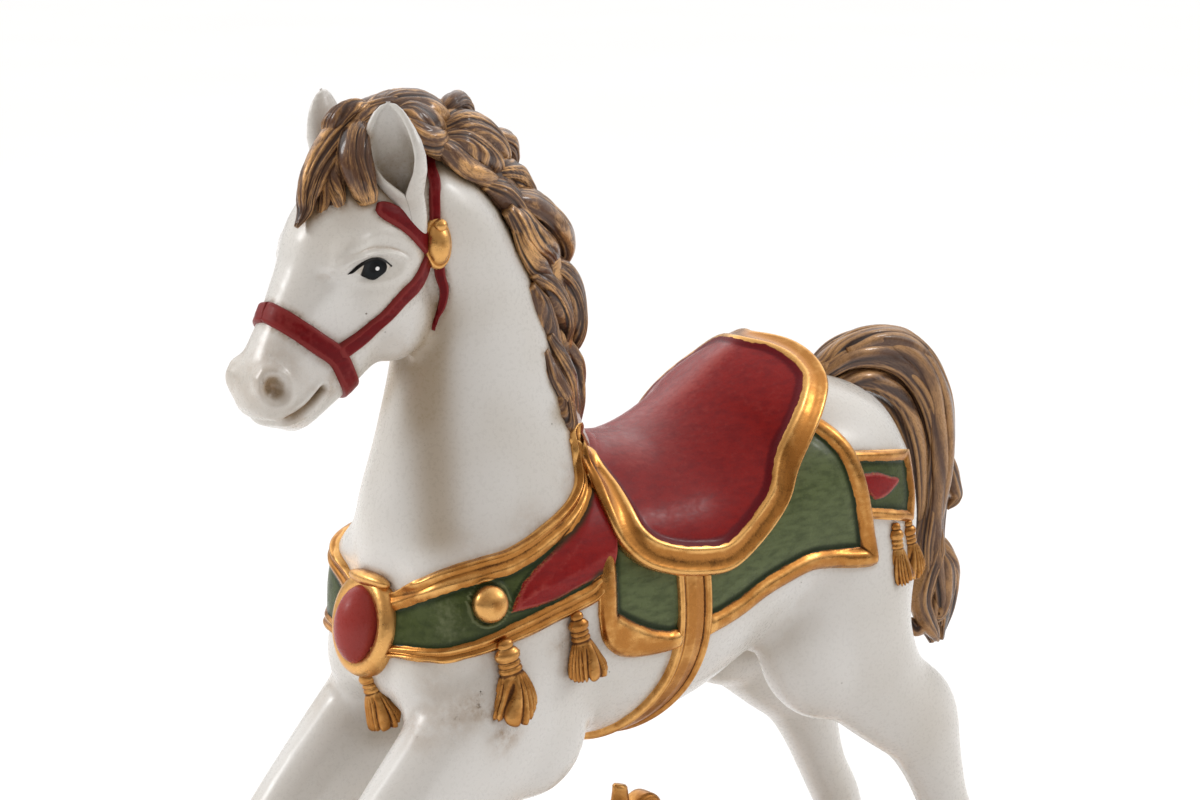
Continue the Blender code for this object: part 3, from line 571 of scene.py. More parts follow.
def ear(name, path, open_low, open_high, size=1.0, rows=84, cols=44):
    """A cupped leaf along a path: a closed tube low down, which opens as it rises. Widths and half openings
    are read at shares along the path."""
    fine = 400
    line = spread(path, fine)
    shares = 1 - (1 - np.linspace(0, 1, rows)) ** 1.5
    across = np.sin(math.pi / 2 * np.linspace(-1, 1, cols))
    swell = np.sqrt(np.clip(1 - ((np.abs(across) - 0.86) / 0.14).clip(0, 1) ** 2, 0.002, 1))
    runs = unit(np.gradient(line, axis=0))
    inner, outer, inside = [], [], []
    for t in shares:
        at = int(t * (fine - 1))
        place, run = line[at], runs[at]
        later = ease(t, 0.1, 0.7)
        way = np.array(open_low, float) * (1 - later) + np.array(open_high, float) * later
        out = unit(way - run * (way @ run))
        side = np.cross(run, out)
        wide = np.interp(t, *np.array(EAR_WIDTH).T) * size
        turn = across * math.radians(np.interp(t, *np.array(EAR_OPEN).T))
        thick = min(EAR_WALL, 0.42 * wide) * (1 - (1 - swell) * ease(t, 0.34, 0.45))
        middle = place + out * (0.25 * wide - 1.2 * t * t)
        bowl = np.outer(np.sin(turn), side) - 0.62 * np.outer(np.cos(turn), out)
        inner.append(middle + bowl * (wide - EAR_WALL - thick)[:, None])
        outer.append(middle + bowl * (wide - EAR_WALL + thick)[:, None])
        dark = 0.95 - 0.85 * ease(t, 0.5, 0.9)
        inside.append(ease(1 - np.abs(across), 0.15, 0.5) * ease(t, 0.3, 0.4) * dark)
    piece = solid(name, *slab(np.array(inner), np.array(outer)))
    inside = np.ravel(inside)
    note(piece, "inside", np.concatenate([inside, 0 * inside]))
    return piece


LEFT_EAR = [(71.8, 10.0, 54.5), (74.2, 12.2, 62), (77.7, 13.2, 73), (80.6, 13.3, 82.5), (81.6, 13, 90.6)]
RIGHT_EAR = [(75, -7.5, 58), (76.5, -11, 65), (79.5, -13, 76), (82.2, -14, 85), (84, -14.4, 92)]
ears = [
    ear("left_ear", LEFT_EAR, (0.55, 0.83, 0.1), (0.78, 0.6, 0.12)),
    ear("right_ear", RIGHT_EAR, (0.45, -0.88, 0.05), (0.4, -0.9, 0.05), 0.96),
]
print("ears:", [len(e.data.vertices) for e in ears])

# %% [markdown]
# ## Tack: fields and mouldings
# On the casting the saddle, blanket and collar stand a millimetre or two out of the body, and their gold
# edges are moulded ridges. Each is a fine grid laid on the skin and lifted by a height that depends on the
# distance from its edge, so ridge, valley and field are real shape. The same distance is stored as `gilt`,
# millimetres inside the gold, and the paint reads it, so that the brush line follows the ridge.

# %% Laying grids on the skin
def settle(grid, times):
    """Evens a grid of vectors by averaging each with its neighbours."""
    for _ in range(times):
        wide = np.pad(grid, ((1, 1), (1, 1), (0, 0)), mode="edge")
        grid = (grid + (wide[:-2, 1:-1] + wide[2:, 1:-1] + wide[1:-1, :-2] + wide[1:-1, 2:]) / 4) / 2
    return grid


def drop(grid, ground):
    """The nearest places on the ground to a grid of points, and the way it faces at each."""
    found = np.array([[ground.near(p) for p in row] for row in grid])
    return found[:, :, 0], found[:, :, 1]


def lay(guide, ground=None):
    """The skin under a grid of guide points, evened a little, and the direction out of it."""
    base, out = drop(guide, ground or skin)
    inner = settle(base, 3)
    inner[[0, -1]], inner[:, [0, -1]] = base[[0, -1]], base[:, [0, -1]]
    return inner, unit(settle(out, 6))


def four_sided(first, last, start, end, rows, cols, crowd=0.0):
    """A grid between four edge curves; `crowd` draws its lines towards the edges."""
    fine = 200
    first, last, start, end = [spread(line, fine) for line in (first, last, start, end)]

    def shares(count):
        t = np.linspace(0, 1, count)
        return t - crowd * np.sin(2 * math.pi * t) / (2 * math.pi)

    def pick(line, share):
        return np.stack([np.interp(share * (fine - 1), np.arange(fine), column) for column in line.T], axis=1)

    u, v = shares(rows), shares(cols)
    first, last, start, end = pick(first, u), pick(last, u), pick(start, v), pick(end, v)
    u, v = u[:, None, None], v[None, :, None]
    ruled = (1 - v) * first[:, None] + v * last[:, None] + (1 - u) * start[None] + u * end[None]
    near, far = (1 - v) * first[0] + v * last[0], (1 - v) * first[-1] + v * last[-1]
    return ruled - (1 - u) * near - u * far


def edge_distance(grid, lines):
    """The distance in millimetres from each point of a grid to the nearest of some lines."""
    steps = np.vstack([spread(line, 700) for line in lines])
    flat = grid.reshape(-1, 3)
    batch = 2000  # points measured at once, to spare memory
    best = np.empty(len(flat))
    for k in range(0, len(flat), batch):
        best[k : k + batch] = np.min(np.linalg.norm(flat[k : k + batch, None] - steps[None], axis=2), axis=1)
    return best.reshape(grid.shape[:2])


def lifted(name, base, out, height, sink=1.6, **notes):
    """A slab from under the skin to `height` above it, with numbers noted for its paint."""
    top, under = base + out * height[..., None], base - out * sink
    piece = solid(name, *slab(top, under))
    for key, values in notes.items():
        note(piece, key, np.concatenate([values.ravel(), values.ravel()]))
    return piece


def profile(distance, points):
    """A height read from (distance, height) points, with soft corners."""
    far, high = np.array(points, float).T
    fine = np.linspace(far[0], far[-1], 400)
    line = np.interp(fine, far, high)
    corner = 0.35  # millimetres on each side that a corner is softened over
    width = max(3, int(corner / (fine[1] - fine[0])))
    window = np.ones(2 * width + 1) / (2 * width + 1)
    return np.interp(distance, fine, np.convolve(np.pad(line, width, mode="edge"), window, mode="valid"))


# %% [markdown]
# ### Saddle
# The seat is one surface: arcs from a line along the middle out to the rim, swept up behind into the cantle.
# The gold rim is a band along its edge with a raised lip on both sides and a trough between them.

# %% The saddle
SEAT_LINE = [
    (27, 0, -4), (18, 0, -8.6), (5, 0, -10.5), (-8, 0, -9.8), (-22, 0, -6), (-35, 0, 1), (-46, 0, 8),
    (-54, 0, 11), (-60.5, 0, 11.2),
]
SEAT_EDGE = [
    (26, 5, -2.5), (26.2, 12.4, -2.4), (25, 18.2, -4.6), (23.6, 23, -12.5), (22.8, 29, -23.4),
    (20.6, 33, -32), (14.5, 35.5, -38.5), (5, 36.6, -42.5), (-5, 37, -44.5), (-15, 37, -45.2),
    (-23, 36.7, -42.5), (-33, 36, -36), (-40.5, 35, -29), (-45, 34, -20.5), (-51, 32.5, -13.5),
    (-58, 29.5, -7), (-64, 25, -1), (-65.8, 19.5, 4), (-65.2, 13, 7.8), (-63, 6, 10.2),
]
SEAT_LIFT = 1.5  # the least that the seat stands out of the body, and how far its underside lies inside
UNDER_GILT = 5.0  # the hidden underside counts as gold
RIM_WIDTH = 8.2
RIM_PROFILE = [
    (0, 0.0), (0.5, 1.2), (1.3, 1.75), (2.4, 1.1), (4.2, 0.75), (6.0, 1.05), (7.2, 1.75), (8.2, 1.3),
    (9.2, 0.15), (60, 0),
]


def saddle():
    """The seat and its rim, as one slab from flank to flank."""
    rows, cols = 130, 50
    line, edge = spread(SEAT_LINE, rows), spread(SEAT_EDGE, rows)
    turn = math.pi / 2 * (1 - (1 - np.linspace(0, 1, cols)) ** 1.5)
    half = np.zeros((rows, cols, 3))
    for i, (middle, rim) in enumerate(zip(line, edge)):
        half[i, :, 0] = middle[0] + (rim[0] - middle[0]) * np.sin(turn) ** 1.2
        half[i, :, 1] = rim[1] * np.sin(turn)
        half[i, :, 2] = rim[2] + (middle[2] - rim[2]) * np.cos(turn)
    grid = np.concatenate([half[:, :0:-1] * (1, -1, 1), half], axis=1)
    base, facing = drop(grid, skin)
    out = unit(settle(facing, 4))
    rise = np.einsum("ijk,ijk->ij", grid - base, out)
    # the seat stands out of the body all over, but its front runs on into the neck
    x, y, z = np.moveaxis(grid, -1, 0)
    sunk = ease(x, 13, 19) * ease(z, -13, -7) * (1 - ease(np.abs(y), 12, 17))
    raised = grid + out * (np.maximum(SEAT_LIFT - rise, 0) * (1 - sunk))[..., None]
    grid = settle(raised, 6)
    away = edge_distance(grid, [edge, edge * (1, -1, 1), grid[0], grid[-1]])
    across, along = np.gradient(grid, axis=1), np.gradient(grid, axis=0)
    face = unit(settle(unit(np.cross(along, across)), 8))
    face *= np.sign(np.einsum("ijk,ijk->ij", face, out))[..., None] + 1e-9
    top = grid + face * profile(away, RIM_PROFILE)[..., None]
    piece = solid("saddle", *slab(top, settle(base, 12) - out * SEAT_LIFT))
    gilt = RIM_WIDTH - away
    note(piece, "gilt", np.concatenate([gilt.ravel(), np.full(gilt.size, UNDER_GILT)]))
    return piece


saddle_piece = saddle()
print("saddle:", len(saddle_piece.data.vertices), "points")

# %% [markdown]
# ### Saddle blanket
# Four edge curves are drawn in the side view and dropped onto each flank. The grid between them is dense
# near its edges, where the moulded border is.

# %% The blanket
BLANKET_TOP = [(27, -4), (8, -16), (-20, -18), (-40, -12), (-54, -6)]
BLANKET_LOW = [
    (28.7, -50), (26.8, -58), (20.3, -63.5), (9, -65.2), (-4, -64.5), (-14.5, -62.6), (-24.2, -60),
    (-32, -57), (-39.7, -54.8), (-51.3, -52.4), (-60, -53), (-67.3, -54), (-74, -54.6), (-77.2, -54.2),
]
BLANKET_FRONT = [(27, -4), (25, -14), (26, -24), (28, -36), (28.7, -50)]
BLANKET_BACK = [
    (-54, -6), (-63.1, -10.8), (-69.4, -17.5), (-72.4, -25), (-75, -36), (-77, -45), (-77.9, -51.5),
    (-77.2, -54.2),
]
BLANKET_STEP = [(25.3, -56), (19.5, -59.5), (12, -63), (5, -65)]  # the border is broader at this corner
BORDER = 6.0
GIRTH_X, GIRTH_REACH = -4.9, 4.9
BORDER_PROFILE = [
    (0, 0.15), (0.5, 1.5), (1.3, 2.3), (2.8, 2.6), (4.4, 2.3), (5.4, 1.5), (6.1, 0.6), (7.2, 0.5), (9.5, 0.8),
    (70, 0.9),
]


def blanket(label, turn):
    """The blanket on one flank."""
    edges = (BLANKET_TOP, BLANKET_LOW, BLANKET_FRONT, BLANKET_BACK, BLANKET_STEP)
    top, low, front, back, step = [[skin.beside(x, z, turn[1]) for x, z in edge] for edge in edges]
    base, out = lay(four_sided(top, low, front, back, 140, 76, crowd=0.55))
    away = edge_distance(base, [low, front, back])
    away = np.minimum(away, np.maximum(edge_distance(base, [step]), 3.0))
    under_girth = np.abs(base[..., 0] - GIRTH_X) < GIRTH_REACH
    away = np.where(under_girth, np.maximum(away, 9.0), away)  # the border isn't raised there
    height = profile(away, BORDER_PROFILE)
    return lifted(f"blanket_{label}", base, out, height, gilt=BORDER - away)


blankets = [blanket(label, turn) for label, turn in SIDES.items()]
print("blankets:", [len(b.data.vertices) for b in blankets])

# %% [markdown]
# ### Breast collar
# The collar runs from the medallion round the shoulder and up to the withers. Its upper edge is a double
# roll and so is its lower edge. A raised red tongue lies on the green field, wide at the back and pointed at
# the stud. The distance to the tongue's outline is measured in the side view.

# %% The collar
COLLAR_TOP = [
    (83.4, 5, -41.5), (81, 10, -39.5), (77.6, 18.6, -34.5), (70.8, 24, -31), (63, 26, -29.6),
    (56.6, 27, -28.7), (50, 27.2, -26.8), (43.9, 27, -24.3), (37, 26, -21.5), (31.5, 24.4, -18.6),
    (27.8, 22.4, -15), (27.2, 20.5, -10), (27, 17.5, -4.5), (25.5, 15, -2), (23, 13, -2),
]
COLLAR_LOW = [
    (83.4, 5, -57), (82, 13, -56.4), (76.4, 25.2, -56), (70, 29, -55), (63.5, 31, -54), (57, 32, -52.6),
    (50.2, 32.5, -51.2), (43, 33, -49.4), (36.5, 33, -48), (27, 33, -44.6), (22, 30, -34), (20, 25, -22),
    (19.5, 19, -12), (18.6, 16.5, -9.5), (18, 14, -8),
]
TONGUE = [
    (58.0, -44.4), (54.4, -38.6), (49, -34.4), (43.6, -31.6), (37.6, -27.6), (32.2, -22.6), (27.5, -17.5),
    (23.5, -12), (16, -22), (18, -36.6), (26, -39.2), (35.8, -41.4), (45, -43.6),
]
STUD_AT = np.array((63.9, 30.3, -41.2))
UPPER_ROLLS = [
    (0, 0.1), (0.6, 1.9), (1.5, 2.5), (2.5, 1.9), (3.2, 1.35), (4.0, 1.9), (4.9, 2.1), (6.0, 1.5), (6.9, 0.8),
    (60, 0.8),
]
LOWER_ROLLS = [
    (0, 0.1), (0.5, 1.6), (1.3, 2.1), (2.1, 1.5), (2.7, 1.1), (3.4, 1.5), (4.2, 1.6), (5.0, 1.1), (5.6, 0.8),
    (60, 0.8),
]


def inside_by(x, z, outline):
    """How far inside a closed outline points lie, below 0 outside it."""
    ring = spread([(a, b, 0) for a, b in outline + outline[:1]], 240)[:, :2]
    flat = np.stack([x.ravel(), z.ravel()], axis=1)
    best = np.min(np.linalg.norm(flat[:, None] - ring[None], axis=2), axis=1)
    nxt = np.roll(ring, -1, axis=0)
    over = (ring[None, :, 1] > flat[:, None, 1]) != (nxt[None, :, 1] > flat[:, None, 1])
    slope = (nxt[:, 0] - ring[:, 0]) / np.where(nxt[:, 1] == ring[:, 1], 1e-9, nxt[:, 1] - ring[:, 1])
    hit = over & (flat[:, None, 0] < slope[None] * (flat[:, None, 1] - ring[None, :, 1]) + ring[None, :, 0])
    return np.where(hit.sum(axis=1) % 2 == 1, best, -best).reshape(x.shape)


def collar(label, turn):
    """One half of the collar, from the medallion up to the withers."""
    rows, cols = 130, 68
    upper, lower = spread(COLLAR_TOP, rows) * turn, spread(COLLAR_LOW, rows) * turn
    share = np.linspace(0, 1, cols)
    share = (share - 0.4 * np.sin(2 * math.pi * share) / (2 * math.pi))[None, :, None]
    base, out = lay(upper[:, None] * (1 - share) + lower[:, None] * share)
    run = np.linspace(0, 1, rows)
    wide_up = np.interp(run, [0, 0.12, 0.3, 0.65, 0.85, 1], [0.7, 0.85, 1, 0.95, 0.7, 0.6])[:, None]
    wide_low = np.interp(run, [0, 0.15, 0.4, 1], [0.5, 0.7, 1, 1])[:, None]
    from_top = edge_distance(base, [upper]) / wide_up
    from_low = edge_distance(base, [lower[:82]]) / wide_low  # the rest of this edge is under the saddle
    height = np.maximum(profile(from_top, UPPER_ROLLS), profile(from_low, LOWER_ROLLS))
    ruby = inside_by(base[..., 0], base[..., 2], TONGUE)
    height = np.maximum(height, 0.8 + 0.9 * ease(ruby, -0.2, 0.7) + 0.9 * ease(ruby, 0.7, 4.8))
    stud = np.linalg.norm(base - STUD_AT * turn, axis=2)
    height += 0.5 * bell(stud - 6.0, 0.45) - 0.25 * bell(stud - 5.3, 0.3)
    end_gilt = 8 * ease(run, 0.85, 0.92)[:, None] - 4
    gilt = np.maximum(np.maximum(6.6 - from_top, 5.4 - from_low), end_gilt)
    return lifted(f"collar_{label}", base, out, height, gilt=gilt, ruby=np.where(gilt > 0.4, -3, ruby))


collars = [collar(label, turn) for label, turn in SIDES.items()]
print("collars:", [len(c.data.vertices) for c in collars])

# %% [markdown]
# ### Crupper patches
# Behind the blanket a short green strip with gold edges and a red leaf runs back over each haunch.

# %% The crupper
CRUPPER_UP = [(-68, 30, -19.5), (-83, 30, -21.5), (-98, 27, -24)]
CRUPPER_LOW = [(-73, 33, -40), (-84.5, 33.5, -42.3), (-96, 30, -45.5)]
LEAF = [
    (-72, -26.6), (-78, -27.2), (-84, -29.2), (-89, -31.2), (-85, -33.6), (-80, -35), (-76, -34.6),
    (-73, -31),
]
STRIP_PROFILE = [(0, 0.1), (0.5, 1.4), (1.4, 2.0), (2.6, 1.7), (3.4, 0.8), (60, 0.8)]


def crupper(label, turn):
    """The strip over one haunch."""
    front = [CRUPPER_UP[0], (-71, 32, -30), CRUPPER_LOW[0]]
    back = [CRUPPER_UP[-1], (-98, 28.5, -35), CRUPPER_LOW[-1]]
    guide = four_sided(CRUPPER_UP, CRUPPER_LOW, front, back, 76, 56, crowd=0.3) * turn
    base, out = lay(guide)
    away = edge_distance(base, [np.array(line) * turn for line in (CRUPPER_UP, CRUPPER_LOW, back)])
    away = np.minimum(away, edge_distance(base, [np.array(back) * turn]) * 0.7)
    ruby = inside_by(base[..., 0], base[..., 2], LEAF)
    height = profile(away, STRIP_PROFILE) + 0.6 * ease(ruby, -0.2, 0.8)
    return lifted(f"crupper_{label}", base, out, height, gilt=3.3 - away, ruby=ruby)


cruppers = [crupper(label, turn) for label, turn in SIDES.items()]
print("cruppers:", len(cruppers))

# %% [markdown]
# ### Straps
# A strap is a narrow grid along a path: the path is snapped to the skin, a direction across it is found from
# the skin's normal, and a height profile is swept along. The girth has raised edges and the bridle is flat.

# %% Girth and bridle
def symmetric(half):
    """A strap's section, as place across it and height, from its first half."""
    return half + [(-across, height) for across, height in half[-2::-1]]


FLAT_STRAP = symmetric([(-1, 0.0), (-0.93, 0.75), (-0.75, 0.97), (0, 1.05)])
EDGED_HALF = [(-1, 0.0), (-0.93, 0.8), (-0.8, 1.0), (-0.66, 0.8), (-0.56, 0.4), (-0.5, 0.62), (0, 0.75)]
EDGED_STRAP = symmetric(EDGED_HALF)


def even_out(rows, times):
    """Evens rows lengthways, with the first and last held."""
    for _ in range(times):
        rows[1:-1] = (rows[:-2] + 2 * rows[1:-1] + rows[2:]) / 4


def strap(name, path, width, height, shape, count, cols, sink=1.4, ends=None, ground=None, level=0):
    """A strap laid along a path on the ground, which is the skin unless given. `ends` tapers its width, and
    `level` is how often it is evened lengthways, so that a stiff strap bridges what it crosses."""
    ground = ground or skin
    line = np.array([ground.near(p)[0] for p in spread(path, count)])
    even_out(line, 3)
    along = unit(np.gradient(line, axis=0))
    out = np.array([skin.near(p)[1] for p in line])
    even_out(out, 4 + level)
    across = unit(np.cross(out, along))
    share = np.linspace(-1, 1, cols)
    share = np.sign(share) * (1 - (1 - np.abs(share)) ** 1.25)
    taper = 1 if ends is None else np.interp(np.linspace(0, 1, count), *ends)[:, None]
    wide = width / 2 * taper
    guide = line[:, None] + across[:, None] * (wide * share[None])[..., None]
    base, normal = lay(guide, ground)
    even_out(base, level)
    even_out(normal, level)
    offsets, heights = np.array(shape).T
    raised = height * np.interp(share, offsets, heights)[None] * np.ones((count, 1))
    return lifted(name, base, normal, raised, sink=sink)


GIRTH = [
    (-4.4, 34, -42), (-5.0, 34, -58), (-4.9, 33, -65.7), (-2.8, 29.3, -76.2), (2.3, 22, -86), (7.5, 11, -92),
    (10, 0, -94),
]
GIRTH_PATH = GIRTH + [(x, -y, z) for x, y, z in GIRTH[-2::-1]]
under_girth = Skin(body, *blankets)
girth = strap("girth", GIRTH_PATH, 12.4, 2.5, EDGED_STRAP, 150, 41, sink=2.5, ground=under_girth, level=24)

ROSETTE = np.array((66.2, 12.4, 52.6))
BRIDLE = {  # each strap's width, and its path on the left
    "crown": (3.0, [
        (66.5, 12.2, 53), (66.4, 12.2, 60), (66, 11.5, 65), (64.9, 10.5, 68.3), (63.5, 7, 71.5), (61, 3, 74),
    ]),
    "cheek": (4.3, [
        (67, 12, 50.5), (70, 13, 47.3), (74.5, 15, 43), (79.9, 15, 39.7), (87, 11.5, 32.2), (96, 10.4, 26.8),
    ]),
    "brow": (5.8, [
        (67.5, 12, 50.5), (70.4, 13.1, 53.6), (73.8, 14.2, 57.0), (77.3, 14.4, 59.9), (81.3, 14.2, 62.4),
        (85.4, 13.1, 64.4),
    ]),
    "throat": (2.9, [(65, 12, 51), (63.8, 10.8, 44), (62.4, 10.7, 39.8), (63.1, 9.7, 34.4), (65.6, 7, 29.5)]),
    "nose": (5.7, [
        (111.6, 0, 38.4), (110.7, 4, 37.4), (108, 7.3, 35.1), (101.7, 10.1, 30), (96.3, 10.4, 26),
        (93, 9.4, 20.8), (89.5, 5.7, 16.6), (88, 0, 15),
    ]),
}
TAPERS = {  # shares along the strap, and its width there
    "brow": ([0, 0.12, 0.3, 0.85, 0.95, 1], [0.7, 0.8, 1, 0.9, 0.7, 0.35]),
    "throat": ([0, 0.3, 0.7, 1], [1, 1, 0.75, 0.2]),
}
straps = []
for label, turn in SIDES.items():
    for key, (width, path) in BRIDLE.items():
        way = np.array(path) * turn
        straps.append(strap(f"{key}_{label}", way, width, 1.15, FLAT_STRAP, 48, 13, ends=TAPERS.get(key)))
bridle = join("bridle", straps)
print("girth and bridle:", len(girth.data.vertices), len(bridle.data.vertices))

# %% [markdown]
# ### Studs, rosettes and the medallion
# These are turned shapes: rings of a profile stacked along the direction out of the skin. The rosette is an
# oval with a second dome on it. The medallion is a fat gold ring round a red stone.

# %% Turned bosses
def boss(name, at, shape, way=None, oval_by=1.0):
    """A turned boss at a point on the skin, facing out of it unless a way is given. `shape` lists radius and
    height, and the boss is `oval_by` times as tall as wide."""
    place, normal = skin.near(at)
    normal = unit(normal if way is None else way)
    up = np.array((0.0, 0.0, 1.0))
    tall = unit(up - normal * (normal @ up))
    wide = np.cross(tall, normal)
    rings = []
    for radius, height in shape:
        rings.append(oval_ring(place + normal * height, circle(48), radius, wide, radius * oval_by, tall))
    return solid(name, *tube(rings))


STUD = [
    (4.9, -1.0), (5.0, 1.0), (4.95, 1.9), (4.65, 2.8), (4.05, 3.6), (3.15, 4.2), (2.0, 4.6), (1.0, 4.8),
    (0.2, 4.85),
]
OVAL_BOSS = [
    (3.9, -1.0), (4.0, 1.6), (3.9, 2.3), (3.6, 2.7), (3.35, 2.8), (3.2, 3.0), (2.9, 3.7), (2.2, 4.5),
    (1.2, 4.9), (0.2, 5.0),
]
KNOB = [(1.6, 0.6), (1.8, 3.0), (1.4, 4.0), (0.3, 4.4)]
KNOB_UP = np.array((0, 0, 4.6))  # how far the knob sits above the middle of its rosette
ROSETTE_WAY, KNOB_WAY = np.array((0.2, 0.97, 0.1)), np.array((0.1, 0.97, 0.2))
studs, rosettes = [], []
for label, turn in SIDES.items():
    studs.append(boss(f"stud_{label}", STUD_AT * turn, STUD))
    disc = boss(f"rosette_{label}", ROSETTE * turn, OVAL_BOSS, way=ROSETTE_WAY * turn, oval_by=1.7)
    knob = boss(f"knob_{label}", (ROSETTE + KNOB_UP) * turn, KNOB, way=KNOB_WAY * turn)
    rosettes.append(join(f"rosette_{label}", [disc, knob]))


def medallion():
    """The gold ring on the breast, leant back a little, and its red stone."""
    centre, out = np.array((80.4, 0.0, -50.4)), unit((0.985, 0.0, 0.17))
    up = np.cross(out, LEFT)
    turn = circle(72)

    def rings(shape, wide, tall):
        """An oval ring for each share of the full size and rise above the breast."""
        return [oval_ring(centre + out * rise, turn, wide * s, LEFT, tall * s, up) for s, rise in shape]

    hoop = [
        (0.98, -5), (1.02, -1), (1.04, 1.2), (1.02, 2.8), (0.97, 4.0), (0.87, 4.7), (0.75, 4.6), (0.66, 3.9),
        (0.6, 2.8), (0.5, 2.0), (0.1, 2.0),
    ]
    dome = [
        (1, 0), (1.0, 3.2), (0.97, 4.9), (0.9, 6.4), (0.78, 7.8), (0.6, 9.1), (0.38, 10.0), (0.18, 10.4),
        (0.03, 10.5),
    ]
    ring = solid("medallion_ring", *tube(rings(hoop, 12.4, 13.8)))
    crown = egg("crown", centre + (0.4, 0.5, 12.6), (3.2, 8.6, 2.3), lean=-25, around=36)
    return join("medallion_ring", [ring, crown]), solid("medallion_stone", *tube(rings(dome, 6.9, 10.9)))


medal_ring, medal_stone = medallion()
print("studs, rosettes and medallion made")

# %% [markdown]
# ### Tassels
# A tassel is a loop, a knot, a bound neck and a skirt of cut threads. The skirt's section is fluted, the
# flutes open out towards the hem, and the hem is uneven.

# %% Tassels
def tassel(name, top, end, radius, seed, flutes=17, flat=0.72):
    """A tassel from its loop to its hem. `flat` is its depth as a share of its width."""
    top, end = np.array(top, float), np.array(end, float)
    run = unit(end - top)
    outward = np.array((0.25, np.sign(top[1]) or 0.0, 0.0)) + (0.8 if abs(top[1]) < 5 else 0, 0, 0)
    out = unit(outward - run * (outward @ run))
    side = np.cross(run, out)
    outline = [
        (0, 0.16), (0.03, 0.3), (0.08, 0.36), (0.11, 0.3), (0.14, 0.44), (0.19, 0.56), (0.24, 0.54),
        (0.28, 0.42), (0.3, 0.48), (0.33, 0.5), (0.35, 0.44), (0.37, 0.5), (0.4, 0.53), (0.43, 0.48),
        (0.48, 0.58), (0.55, 0.7), (0.63, 0.81), (0.72, 0.9), (0.81, 0.98), (0.9, 1.06), (0.97, 1.1),
        (1.01, 1.05), (1.02, 0.8), (0.98, 0.3),
    ]
    turn = circle(102)
    rings, ridge = [], []
    length = np.linalg.norm(end - top)
    for t, r in outline:
        cut = ease(t, 0.44, 0.6)
        warp = turn + 0.22 * np.sin(3 * turn + 2 * seed) + 0.15 * np.sin(4 * t + turn)
        wave = np.abs(np.cos(flutes * warp / 2 + seed)) ** 0.8
        size = radius * r * (1 - 0.24 * cut * (1 - wave))
        uneven = 0.035 * np.sin(3 * turn + seed * 2) - 0.11 * np.sin(turn) ** 2 + 0.05 * (wave - 0.5)
        hem = length * ease(t, 0.6, 1) * uneven
        sway = side * 0.9 * radius * max(0, t - 0.45) ** 2 * math.sin(seed * 1.7)
        middle = top + run * length * t + sway + np.outer(hem, run)
        rings.append(oval_ring(middle, turn, size * flat, out, size, side))
        ridge.append(1 - cut * (1 - wave))
    piece = solid(name, *tube(rings))
    note(piece, "ridge", np.concatenate([np.ravel(ridge), [0.5, 0.5]]))
    return piece


TASSELS = {  # loop, hem and greatest half width, on the left
    "shoulder": ((61.4, 33.8, -50.6), (56.4, 34.1, -72.2), 6.5),
    "elbow": ((37.4, 34.5, -47.4), (33.4, 34.7, -66.4), 5.3),
    "haunch": ((-86.4, 33.2, -43.6), (-87.6, 33.6, -61.6), 4.3),
    "croup": ((-93.6, 31.0, -44.2), (-96.2, 31.2, -61), 4.5),
}
tassels = [tassel("tassel_breast", (83.4, 0.5, -61.4), (78.2, 3.2, -78.8), 4.6, seed=2)]
for k, (key, (top, end, radius)) in enumerate(TASSELS.items()):
    for label, turn in SIDES.items():
        tassels.append(tassel(f"tassel_{key}_{label}", top * turn, end * turn, radius, seed=k + 1))
print("tassels:", len(tassels))
tassel_piece = join("tassels", tassels)

# %% [markdown]
# ## Hair
# Hair on a casting is carved as locks. One lock is a tube along a curved path, wide in the middle and
# pointed at the end, whose section is cut by round ridges with sharp valleys between them. The ridges wind
# round the lock as they run, which makes it look combed. Locks overlap like roof tiles over a plain core.

